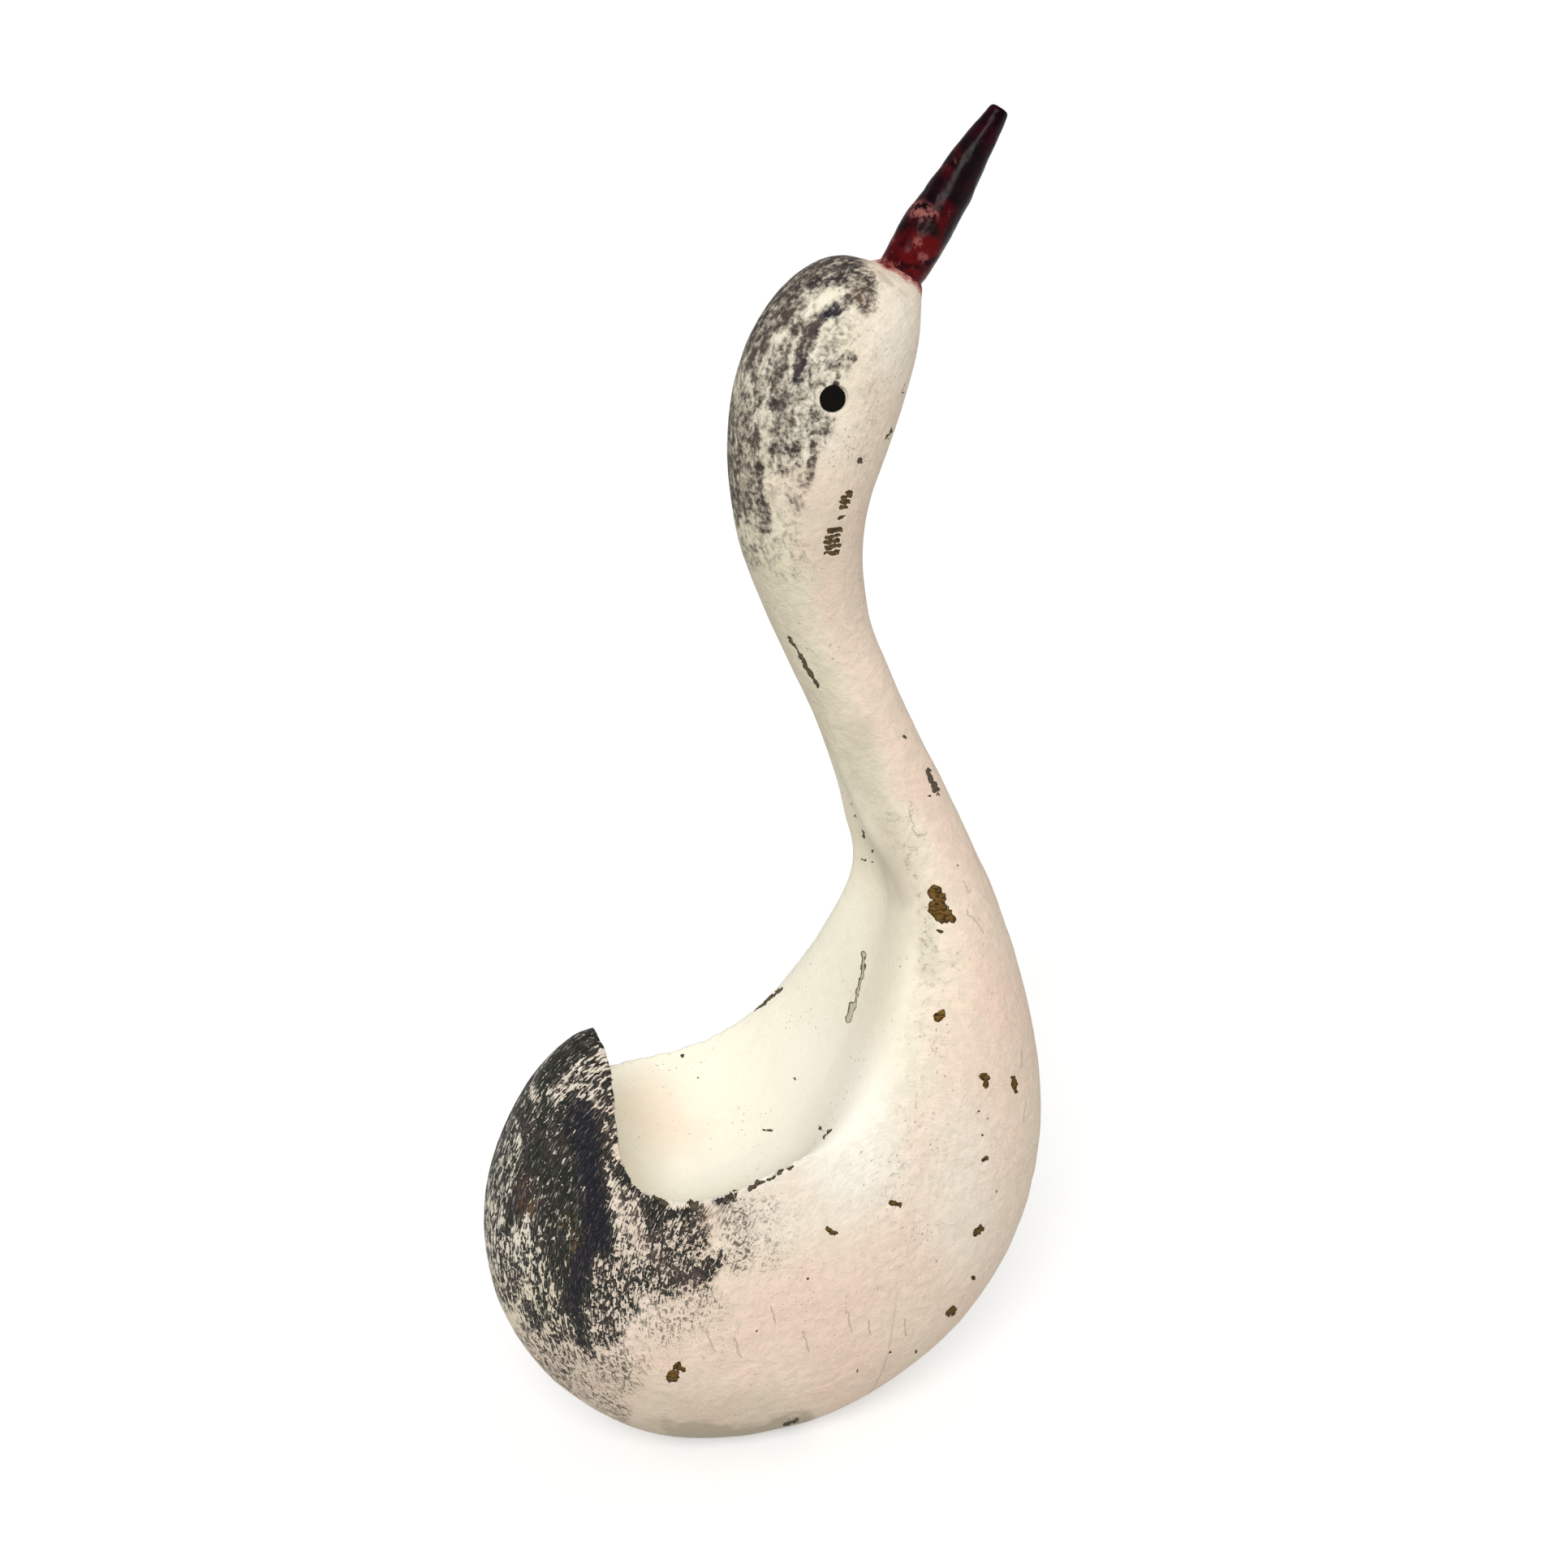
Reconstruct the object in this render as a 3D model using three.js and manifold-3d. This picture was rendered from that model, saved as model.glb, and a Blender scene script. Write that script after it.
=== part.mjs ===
// Carved and painted wooden swan with a scooped back, a tall curved neck and a peg beak.
// Millimetres, +Z up. The swan faces +X, its tail points to -X, and it rests on Z = 0.
// It is a body and a neck glued over a hidden dowel, a whittled beak and two eye pegs.
import * as THREE from 'three';
import { mergeVertices } from 'three/addons/utils/BufferGeometryUtils.js';
import Module from 'manifold-3d';

const wasm = await Module();
wasm.setup();

// Driving sizes of the carving: x is length or reach, y is width, z is height
const bodyLength = 105;
const bodyHeight = 112.1;
const bodyWidth = 57;
const neckReach = 36;
const neckHeight = 46.4;
const neckWidth = 15.5;
const headLength = 32.7;
const headHeight = 47.4;
const headWidth = 27;
const restTrim = 2.0;

// Driving sizes of the glued-in pieces
const dowelDiameter = 6;
const dowelLength = 28;
const dowelChamfer = 0.6;
const beakLength = 30.8;
const beakDiameter = 8.6;
const beakTipDiameter = 3.1;
const tenonDiameter = 5.6;
const tenonLength = 10;
const eyeDiameter = 4.6;
const eyeDepth = 5;
const eyeSink = 0.2;
const eyeSetBack = 3.0;
const eyeBevel = 0.3;
const eyeDome = 0.1;

// Clearances between glued pieces
const glueGap = 0.3;
const holeGap = 0.3;

// Mesh fineness
const ringsPerStation = 3;
const outerSteps = 28;
const scoopSteps = 16;
const fineSteps = 12;
const leastSoft = 0.05;

// Stations drawn along the carving, from the tail tip round the belly and up to the beak.
// outer: point on the outer outline in the middle plane, [x, z]
// rim: point level with the two edges of the scoop, or the back of the neck, [x, z]
// width: greatest width as a share of the named width
// belly: distance from the outer point to the widest line
// hollow: depth of the scoop below its edges
// soft: rounding of those edges
const bodyStations = [
  { outer: [-25.6, 88.0], rim: [-25.0, 88.0], width: 0.03, belly: 0.6, hollow: 0, soft: 0.1 },
  { outer: [-29.3, 86.2], rim: [-24.3, 85.9], width: 0.16, belly: 6, hollow: 0.3, soft: 0.2 },
  { outer: [-33.2, 82.3], rim: [-24.3, 83.6], width: 0.31, belly: 12, hollow: 0.8, soft: 0.2 },
  { outer: [-37.6, 76.2], rim: [-24.8, 80.2], width: 0.46, belly: 19, hollow: 1.7, soft: 0.3 },
  { outer: [-41.9, 68.0], rim: [-25.3, 76.0], width: 0.63, belly: 27, hollow: 3.2, soft: 0.4 },
  { outer: [-45.3, 57.5], rim: [-24.5, 70.6], width: 0.76, belly: 34, hollow: 5.3, soft: 0.5 },
  { outer: [-46.0, 46.0], rim: [-21.0, 66.7], width: 0.84, belly: 39.5, hollow: 8.0, soft: 0.5 },
  { outer: [-43.3, 33.0], rim: [-15.0, 64.8], width: 0.90, belly: 43, hollow: 10.5, soft: 0.5 },
  { outer: [-35.6, 19.0], rim: [-8.5, 64.8], width: 0.95, belly: 46, hollow: 12.0, soft: 0.6 },
  { outer: [-22.3, 7.0], rim: [-2.2, 66.0], width: 0.98, belly: 47.5, hollow: 12.0, soft: 0.9 },
  { outer: [-4.0, 1.1], rim: [4.0, 68.2], width: 1.00, belly: 48, hollow: 11.0, soft: 2.0 },
  { outer: [15.5, 1.8], rim: [8.8, 71.7], width: 1.00, belly: 48, hollow: 9.5, soft: 4.0 },
  { outer: [33.5, 8.8], rim: [12.3, 75.8], width: 0.98, belly: 47, hollow: 7.5, soft: 6.5 },
  { outer: [47.5, 20.8], rim: [15.8, 80.5], width: 0.94, belly: 45, hollow: 6.0, soft: 8.5 },
  { outer: [55.9, 36.0], rim: [19.0, 86.2], width: 0.89, belly: 40, hollow: 5.1, soft: 9.0 },
  { outer: [59.0, 52.0], rim: [21.6, 92.0], width: 0.83, belly: 33, hollow: 4.7, soft: 7.5 },
  { outer: [58.6, 67.0], rim: [23.6, 97.7], width: 0.76, belly: 26.5, hollow: 4.6, soft: 5.5 },
  { outer: [56.2, 81.5], rim: [25.0, 103.0], width: 0.67, belly: 21.0, hollow: 4.4, soft: 4.2 },
  { outer: [52.6, 94.7], rim: [25.6, 108.0], width: 0.57, belly: 16.5, hollow: 4.0, soft: 3.4 },
  { outer: [48.0, 107.0], rim: [25.0, 113.2], width: 0.46, belly: 13.2, hollow: 3.0, soft: 3.0 },
];
const neckStations = [
  { outer: [42.7, 119.2], rim: [23.0, 118.8], width: 1.36, belly: 10.8, hollow: 1.8, soft: 3.0 },
  { outer: [37.2, 131.0], rim: [20.5, 127.3], width: 1.10, belly: 8.9, hollow: 0.9, soft: 2.6 },
  { outer: [31.2, 143.0], rim: [16.5, 138.6], width: 1.00, belly: 7.7, hollow: 0.3, soft: 2.4 },
  { outer: [26.2, 155.0], rim: [11.5, 150.1], width: 1.00, belly: 7.8, hollow: 0, soft: 2.4 },
  { outer: [23.9, 165.2], rim: [6.7, 161.9], width: 1.10, belly: 8.9, hollow: 0, soft: 2.5 },
];
const headStations = [
  { outer: [23.6, 173.2], rim: [2.9, 172.0], width: 0.77, belly: 10.5, hollow: 0, soft: 2.8 },
  { outer: [24.9, 180.6], rim: [1.1, 181.4], width: 0.88, belly: 12.0, hollow: 0, soft: 2.8 },
  { outer: [27.2, 187.1], rim: [0.8, 190.2], width: 0.96, belly: 13.4, hollow: 0, soft: 2.8 },
  { outer: [29.7, 194.2], rim: [2.4, 200.0], width: 1.00, belly: 14.1, hollow: 0, soft: 2.8 },
  { outer: [31.7, 200.6], rim: [6.0, 208.8], width: 0.98, belly: 13.6, hollow: 0, soft: 2.8 },
  { outer: [32.7, 205.4], rim: [12.0, 215.9], width: 0.87, belly: 11.7, hollow: 0, soft: 2.8 },
  { outer: [33.1, 209.4], rim: [19.2, 219.4], width: 0.65, belly: 8.6, hollow: 0, soft: 2.8 },
  { outer: [33.5, 213.0], rim: [26.0, 218.0], width: 0.36, belly: 4.55, hollow: 0, soft: 0.8 },
];

const span = (values) => Math.max(...values) - Math.min(...values);
const apart = (a, b) => Math.hypot(b[0] - a[0], b[1] - a[1]);
const middle = ({ outer, rim }) => [(outer[0] + rim[0]) / 2, (outer[1] + rim[1]) / 2];

// Drawn rows stretched to their named sizes, and carried along by the row that they grow from
function fitted(rows, [length, width, height], drawnRoot = [0, 0], placedRoot = [0, 0]) {
  const drawn = rows.flatMap((row) => [row.outer, row.rim]);
  const stretch = [
    length / span(drawn.map((point) => point[0])),
    height / span(drawn.map((point) => point[1])),
  ];
  const place = (point) => point.map(
    (value, axis) => placedRoot[axis] + (value - drawnRoot[axis]) * stretch[axis],
  );
  return rows.map((row) => {
    const outer = place(row.outer);
    const rim = place(row.rim);
    const growth = apart(outer, rim) / apart(row.outer, row.rim);
    return {
      outer,
      rim,
      width: row.width * width,
      belly: row.belly * growth,
      hollow: row.hollow * growth,
      soft: row.soft * growth,
    };
  });
}

const bodyRows = fitted(bodyStations, [bodyLength, bodyWidth, bodyHeight]);
const neckRows = fitted(
  neckStations, [neckReach, neckWidth, neckHeight],
  middle(bodyStations.at(-1)), middle(bodyRows.at(-1)),
);
const headRows = fitted(
  headStations, [headLength, headWidth, headHeight],
  middle(neckStations.at(-1)), middle(neckRows.at(-1)),
);
const stations = [...bodyRows, ...neckRows, ...headRows];
const lastStation = stations.length - 1;
const jointStation = bodyStations.length + 0.75;
const eyeStation = bodyStations.length + neckStations.length + 3.2;

// Smooth tracks through the stations
const track = (pick) => new THREE.CatmullRomCurve3(stations.map(pick), false, 'catmullrom', 0.5);
const outerTrack = track((s) => new THREE.Vector3(s.outer[0], 0, s.outer[1]));
const rimTrack = track((s) => new THREE.Vector3(s.rim[0], 0, s.rim[1]));
const shapeTrack = track((s) => new THREE.Vector3(s.width / 2, s.belly, 0));
const edgeTrack = track((s) => new THREE.Vector3(s.hollow, s.soft, 0));

// The flat section of the carving at a station number, which may lie between two stations
function sectionAt(station) {
  const t = station / lastStation;
  const outer = outerTrack.getPoint(t);
  const rim = rimTrack.getPoint(t);
  const shape = shapeTrack.getPoint(t);
  const edge = edgeTrack.getPoint(t);
  const inward = rim.clone().sub(outer).normalize();
  return {
    outer,
    inward,
    depth: rim.distanceTo(outer),
    halfWidth: shape.x,
    belly: shape.y,
    hollow: Math.max(edge.x, 0),
    soft: Math.max(edge.y, leastSoft),
  };
}

// Half width of the outer face at a distance from the outer point
function halfWidthAt(section, distance) {
  const offset = (distance - section.belly) / section.belly;
  return section.halfWidth * Math.sqrt(Math.max(0, 1 - offset * offset));
}

// Outline of a section as [distance inward, y] pairs, with sharp edges
function sharpOutline(section, outerCount, scoopCount) {
  const points = [];
  const rimOffset = Math.min(1, (section.depth - section.belly) / section.belly);
  const rimAngle = Math.acos(-rimOffset);
  const rimHalf = halfWidthAt(section, Math.min(section.depth, 2 * section.belly));
  for (let i = 0; i <= outerCount; i++) {
    const angle = rimAngle * ((2 * i) / outerCount - 1);
    const distance = section.belly * (1 - Math.cos(angle));
    points.push([distance, Math.sign(angle) * halfWidthAt(section, distance)]);
  }
  for (let i = 1; i < scoopCount; i++) {
    const share = 1 - (2 * i) / scoopCount;
    const distance = section.depth - section.hollow * (1 - share * share);
    points.push([distance, share * rimHalf]);
  }
  return points;
}

// The same outline with its edges rounded by averaging over a short way along it
function softOutline(section, outerCount, scoopCount) {
  const fine = sharpOutline(section, outerCount * fineSteps, scoopCount * fineSteps);
  const count = fine.length;
  const along = [0];
  const step = [];
  for (let i = 0; i < count; i++) {
    const a = fine[i];
    const b = fine[(i + 1) % count];
    step.push(Math.hypot(b[0] - a[0], b[1] - a[1]));
    along.push(along[i] + step[i]);
  }
  const loop = along[count];
  const reach = Math.min(section.soft, loop / 8);
  const outline = [];
  for (let i = 0; i < count; i += fineSteps) {
    const sum = [0, 0];
    let weight = 0;
    for (let j = 0; j < count; j++) {
      const straight = Math.abs(along[j] - along[i]);
      const away = Math.min(straight, loop - straight);
      if (away > reach) continue;
      const length = (step[j] + step[(j + count - 1) % count]) / 2;
      const share = length * (1 - away / reach) + 1e-9;
      sum[0] += fine[j][0] * share;
      sum[1] += fine[j][1] * share;
      weight += share;
    }
    outline.push([sum[0] / weight, sum[1] / weight]);
  }
  return outline;
}

function ringAt(station) {
  const section = sectionAt(station);
  return softOutline(section, outerSteps, scoopSteps).map(([distance, y]) => {
    const point = section.outer.clone().addScaledVector(section.inward, distance);
    point.y = y;
    return point;
  });
}

// A closed skin over the rings between two stations, with a flat cap at each end
function carve(from, to) {
  const ringCount = Math.ceil((to - from) * ringsPerStation) + 1;
  const positions = [];
  const index = [];
  let around = 0;
  for (let r = 0; r < ringCount; r++) {
    const ring = ringAt(from + ((to - from) * r) / (ringCount - 1));
    around = ring.length;
    ring.forEach((p) => positions.push(p.x, p.y, p.z));
  }
  for (let r = 0; r < ringCount - 1; r++) {
    for (let i = 0; i < around; i++) {
      const a = r * around + i;
      const b = r * around + ((i + 1) % around);
      index.push(a, b, a + around, b, b + around, a + around);
    }
  }
  for (const [ring, flip] of [[0, true], [ringCount - 1, false]]) {
    const centre = new THREE.Vector3();
    for (let i = 0; i < around; i++) {
      centre.add(new THREE.Vector3().fromArray(positions, 3 * (ring * around + i)));
    }
    centre.divideScalar(around);
    const hub = positions.length / 3;
    positions.push(centre.x, centre.y, centre.z);
    for (let i = 0; i < around; i++) {
      const a = ring * around + i;
      const b = ring * around + ((i + 1) % around);
      index.push(...(flip ? [hub, b, a] : [hub, a, b]));
    }
  }
  const geometry = new THREE.BufferGeometry();
  geometry.setAttribute('position', new THREE.Float32BufferAttribute(positions, 3));
  geometry.setIndex(index);
  return geometry;
}

// Solids for cutting
function toSolid(geometry) {
  const bare = geometry.clone();
  bare.deleteAttribute('normal');
  bare.deleteAttribute('uv');
  const merged = mergeVertices(bare, 1e-4);
  return new wasm.Manifold(new wasm.Mesh({
    numProp: 3,
    vertProperties: new Float32Array(merged.attributes.position.array),
    triVerts: new Uint32Array(merged.index.array),
  }));
}

function toGeometry(solid) {
  const mesh = solid.getMesh();
  const geometry = new THREE.BufferGeometry();
  geometry.setAttribute('position', new THREE.BufferAttribute(mesh.vertProperties, 3));
  geometry.setIndex(new THREE.BufferAttribute(mesh.triVerts, 1));
  geometry.computeVertexNormals();
  return geometry;
}

// A turned shape whose axis runs from a point along a direction
function turned(profile, sides, origin, direction) {
  const points = profile.map(([radius, height]) => new THREE.Vector2(radius, height));
  const geometry = new THREE.LatheGeometry(points, sides);
  const turn = new THREE.Quaternion().setFromUnitVectors(new THREE.Vector3(0, 1, 0), direction);
  geometry.applyQuaternion(turn);
  geometry.translate(origin.x, origin.y, origin.z);
  return geometry;
}

function rod(radius, from, to, sides, origin, direction) {
  return turned([[0, from], [radius, from], [radius, to], [0, to]], sides, origin, direction);
}

const up = new THREE.Vector3(0, 1, 0);

// Direction along the carving, square to the section at a station
function alongAt(station) {
  return sectionAt(station).inward.clone().cross(up).multiplyScalar(-1);
}

function centreAt(station) {
  const section = sectionAt(station);
  return section.outer.clone().addScaledVector(section.inward, section.depth / 2);
}

// Joint between body and neck
const jointCentre = centreAt(jointStation);
const jointAlong = alongAt(jointStation);
const stationLength = centreAt(jointStation + 0.5).distanceTo(centreAt(jointStation - 0.5));
const jointHalfGap = glueGap / 2 / stationLength;
const dowelHole = toSolid(rod(
  dowelDiameter / 2 + holeGap, -dowelLength / 2 - glueGap, dowelLength / 2 + glueGap,
  24, jointCentre, jointAlong,
));

// Beak seat at the end of the head
const beakRoot = centreAt(lastStation);
const beakAlong = alongAt(lastStation);
const beakSeat = beakRoot.clone().addScaledVector(beakAlong, glueGap);
const beakHole = toSolid(rod(
  tenonDiameter / 2 + holeGap, -tenonLength, beakDiameter, 24, beakRoot, beakAlong,
));

// Eye seats on the two sides of the head
const eyeSection = sectionAt(eyeStation);
const eyeOffset = eyeSection.depth / 2 + eyeSetBack;
const eyeSide = halfWidthAt(eyeSection, eyeOffset);
const eyeCentre = eyeSection.outer.clone().addScaledVector(eyeSection.inward, eyeOffset);

function eyeSeat(side) {
  const point = eyeCentre.clone();
  point.y = side * (eyeSide - eyeSink);
  return { point, outward: new THREE.Vector3(0, side, 0) };
}

function eyeHole(side) {
  const { point, outward } = eyeSeat(side);
  return toSolid(rod(
    eyeDiameter / 2 + holeGap, -eyeDepth - holeGap, eyeDiameter, 20, point, outward,
  ));
}

// The body with its belly planed flat to stand on
function body() {
  const carving = carve(0, jointStation - jointHalfGap);
  carving.computeBoundingBox();
  const { min, max } = carving.boundingBox;
  const plane = new THREE.BoxGeometry(2 * (max.x - min.x), 2 * (max.y - min.y), 2 * restTrim);
  plane.translate((min.x + max.x) / 2, 0, min.z);
  return toGeometry(toSolid(carving).subtract(toSolid(plane)).subtract(dowelHole));
}

function neckAndHead() {
  return toGeometry(
    toSolid(carve(jointStation + jointHalfGap, lastStation))
      .subtract(dowelHole)
      .subtract(beakHole)
      .subtract(eyeHole(1))
      .subtract(eyeHole(-1)),
  );
}

function neckDowel() {
  const half = dowelLength / 2;
  const radius = dowelDiameter / 2;
  return turned(
    [
      [0, -half],
      [radius - dowelChamfer, -half],
      [radius, dowelChamfer - half],
      [radius, half - dowelChamfer],
      [radius - dowelChamfer, half],
      [0, half],
    ],
    20, jointCentre, jointAlong,
  );
}

// Whittled peg: a tenon, a slightly swollen root and a long taper to a flat cut tip
function beak() {
  const full = beakDiameter / 2;
  const tip = beakTipDiameter / 2;
  return turned(
    [
      [0, -tenonLength + glueGap],
      [tenonDiameter / 2, -tenonLength + glueGap],
      [tenonDiameter / 2, 0],
      [full * 0.91, 0],
      [full * 0.96, beakLength * 0.10],
      [full, beakLength * 0.23],
      [full * 0.97, beakLength * 0.34],
      [full * 0.88, beakLength * 0.47],
      [full * 0.78, beakLength * 0.62],
      [full * 0.65, beakLength * 0.77],
      [full * 0.49, beakLength * 0.90],
      [full * 0.40, beakLength * 0.97],
      [tip, beakLength],
      [0, beakLength],
    ],
    20, beakSeat, beakAlong,
  );
}

function eye(side) {
  const { point, outward } = eyeSeat(side);
  const radius = eyeDiameter / 2;
  return turned(
    [[0, -eyeDepth], [radius, -eyeDepth], [radius, -eyeBevel], [radius - eyeBevel, 0], [0, eyeDome]],
    20, point, outward,
  );
}

// Finishes
const paint = (color, roughness) => new THREE.MeshStandardMaterial({ color, roughness, metalness: 0 });
const creamPaint = paint('#e6ddd0', 0.6);
const headPaint = paint('#ded6c8', 0.6);
const bareWood = paint('#b98d58', 0.8);
const beakLacquer = paint('#4a0f14', 0.3);
const eyeBlack = paint('#0a0a0a', 0.7);

const swan = new THREE.Group();
function add(name, geometry, material) {
  const mesh = new THREE.Mesh(geometry, material);
  mesh.name = name;
  swan.add(mesh);
}
add('body', body(), creamPaint);
add('neck_and_head', neckAndHead(), headPaint);
add('neck_dowel', neckDowel(), bareWood);
add('beak', beak(), beakLacquer);
add('eye_left', eye(1), eyeBlack);
add('eye_right', eye(-1), eyeBlack);

// The origin is at the middle of the bounding box, on the ground
const box = new THREE.Box3().setFromObject(swan, true);
swan.position.set(-(box.min.x + box.max.x) / 2, -(box.min.y + box.max.y) / 2, -box.min.z);

export default swan;
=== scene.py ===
# Painted wooden swan: the finish of the carving, the beak and the eyes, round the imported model.
# Metres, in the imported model's frame. The swan faces +X and rests on Z = 0.
import math

import bmesh
import bpy
import numpy as np
from mathutils import Matrix, Vector, kdtree


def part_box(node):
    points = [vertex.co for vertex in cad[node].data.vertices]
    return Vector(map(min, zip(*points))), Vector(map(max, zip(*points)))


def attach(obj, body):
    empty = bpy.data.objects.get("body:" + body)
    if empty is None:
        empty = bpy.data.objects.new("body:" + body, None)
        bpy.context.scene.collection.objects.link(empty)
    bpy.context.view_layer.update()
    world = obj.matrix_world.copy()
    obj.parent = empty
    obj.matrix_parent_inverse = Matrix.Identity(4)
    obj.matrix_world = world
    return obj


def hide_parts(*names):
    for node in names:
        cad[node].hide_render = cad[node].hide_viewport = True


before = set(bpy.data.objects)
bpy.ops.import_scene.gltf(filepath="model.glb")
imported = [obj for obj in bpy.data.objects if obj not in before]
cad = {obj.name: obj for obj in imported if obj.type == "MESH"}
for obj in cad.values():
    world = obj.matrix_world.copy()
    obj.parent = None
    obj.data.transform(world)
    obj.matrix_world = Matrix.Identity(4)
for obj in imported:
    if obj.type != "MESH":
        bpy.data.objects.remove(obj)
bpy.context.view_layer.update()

MM = 0.001
PER_MM = 1000.0
EYES = ("eye_left", "eye_right")

# The photograph's view
PHOTO_SIDE = 1932
PHOTO_PIXEL = 0.14 * MM
VIEW_AZIMUTH = math.radians(-20)
VIEW_ELEVATION = math.radians(22)
VIEW_DISTANCE = 450 * MM
AIM = Vector((3.54, 0, 126.48)) * MM
SENSOR = 36.0
FOCAL = VIEW_DISTANCE / PHOTO_PIXEL

view_right = Vector((math.cos(VIEW_AZIMUTH), math.sin(VIEW_AZIMUTH), 0))
view_back = Vector((
    math.sin(VIEW_AZIMUTH) * math.cos(VIEW_ELEVATION),
    -math.cos(VIEW_AZIMUTH) * math.cos(VIEW_ELEVATION),
    math.sin(VIEW_ELEVATION),
))
view_up = view_back.cross(view_right)
view_place = AIM + view_back * VIEW_DISTANCE

# Landmarks of the carving in its middle plane, x and z
SCOOP_CENTRE = (-14 * MM, 100 * MM)
SCOOP_TOP = 135 * MM
NECK_LEVEL = 140 * MM
# Where the brush strokes turn: centre, radius, and millimetres across for a radian round it
BODY_TURN = ((15 * MM, 40 * MM), 35 * MM, 24)
HEAD_TURN = ((40 * MM, 182 * MM), 30 * MM, 12)
# The far side shows the near side's wear from a place this far forward and down, x and z
FAR_SHIFT = (5 * MM, -4 * MM)


def ramp(low, high, value):
    """0 below low, 1 above high and a smooth rise between; high may be below low."""
    t = np.clip((value - low) / (high - low), 0, 1)
    return t * t * (3 - 2 * t)


def vectors_of(items, key):
    """One vector of each item of a mesh, as the rows of an array."""
    flat = np.empty(len(items) * 3, np.float32)
    items.foreach_get(key, flat)
    return flat.reshape(-1, 3).astype(float)


def points_of(mesh):
    return vectors_of(mesh.vertices, "co")


def normals_of(mesh):
    return vectors_of(mesh.vertex_normals, "vector")


def set_points(mesh, points):
    mesh.vertices.foreach_set("co", points.astype(np.float32).ravel())
    mesh.update()


def lift_points(mesh, lift):
    """Moves every point of a mesh outwards by its own distance."""
    set_points(mesh, points_of(mesh) + normals_of(mesh) * lift[:, None])


def store(mesh, name, values):
    layer = mesh.attributes.get(name) or mesh.attributes.new(name, "FLOAT", "POINT")
    layer.data.foreach_set("value", values.astype(np.float32))


def lattice(x, y, z, seed):
    """A repeatable value from -1 to 1 for each whole-numbered place."""
    mixed = (x * 73856093) ^ (y * 19349663) ^ (z * 83492791) ^ (seed * 49979687)
    mixed = ((mixed ^ (mixed >> 13)) * 1274126177) & 0x7FFFFFFF
    return ((mixed ^ (mixed >> 15)) & 0xFFFF) / 32767.5 - 1


def waves(points, size, seed, octaves=2):
    """Smooth noise from about -1 to 1 with lumps of that size."""
    total = np.zeros(len(points))
    weight = 1.0
    for octave in range(octaves):
        scaled = points * (2 ** octave / size) + 0.37 * seed
        base = np.floor(scaled).astype(np.int64)
        part = scaled - base
        part = part * part * (3 - 2 * part)
        for corner in np.ndindex(2, 2, 2):
            share = np.abs(part - (1 - np.array(corner))).prod(1)
            x, y, z = (base + corner).T
            total += weight * share * lattice(x, y, z, seed + octave)
        weight *= 0.5
    return total


def photo_pixels(points, mirrored):
    """Photo pixels that show the points, or, where mirrored, the points opposite them."""
    near = points.copy()
    far = np.where(mirrored, ramp(2 * MM, 13 * MM, points[:, 1]), 0)
    near[:, 0] += far * FAR_SHIFT[0]
    near[:, 2] += far * FAR_SHIFT[1]
    near[:, 1] = np.where(mirrored, -np.abs(near[:, 1]), near[:, 1])
    seen = near - np.array(view_place)
    depth = -(seen @ np.array(view_back))
    u = PHOTO_SIDE / 2 + FOCAL * (seen @ np.array(view_right)) / depth
    v = PHOTO_SIDE / 2 - FOCAL * (seen @ np.array(view_up)) / depth
    return u, v


def line_distance(u, v, line):
    """Distance in pixels from each (u, v) to a line of one or more points."""
    best = np.inf
    for (u0, v0), (u1, v1) in zip(line, line[1:] or line):
        du, dv = u1 - u0, v1 - v0
        length = max(du * du + dv * dv, 1e-9)
        t = np.clip(((u - u0) * du + (v - v0) * dv) / length, 0, 1)
        best = np.minimum(best, np.hypot(u - u0 - t * du, v - v0 - t * dv))
    return best


# Wear of the paint, placed by photo pixels: radius, then the points of the mark
BROWN_CHIPS = [
    (9, (1152, 1100)), (7, (1159, 1106)), (11, (1155, 1119), (1163, 1127)), (6, (1172, 1131)),
    (1.6, (1154, 1146), (1161, 1148)), (5, (1155, 1254), (1161, 1249)),
    (4.5, (1212, 1326), (1216, 1330)), (3.5, (1216, 1330), (1215, 1338)),
    (3.5, (1250, 1329), (1252, 1343)), (2.3, (1211, 1429), (1216, 1426)),
    (4.6, (1202, 1519), (1208, 1514)), (2.6, (1199, 1574)), (4.4, (1170, 1618), (1175, 1614)),
    (2.4, (1098, 1482), (1110, 1485)), (2.6, (1020, 1513), (1029, 1521)), (8, (829, 1696)),
    (5, (835, 1684)), (4, (841, 1688)), (2.6, (1044, 607), (1048, 606)), (3, (1039, 613), (1048, 611)),
    (2.8, (1037, 619), (1046, 618)), (2.4, (1036, 626), (1043, 624)), (1.6, (1033, 638), (1041, 636)),
    (2.6, (1021, 655), (1036, 653)), (2.4, (1020, 662), (1034, 660)), (2.6, (1018, 668), (1034, 667)),
    (2.4, (1019, 675), (1035, 673)), (2.6, (1017, 682), (1033, 681)), (1.6, (1157, 979)),
    (1.3, (995, 1575)),
]
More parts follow.
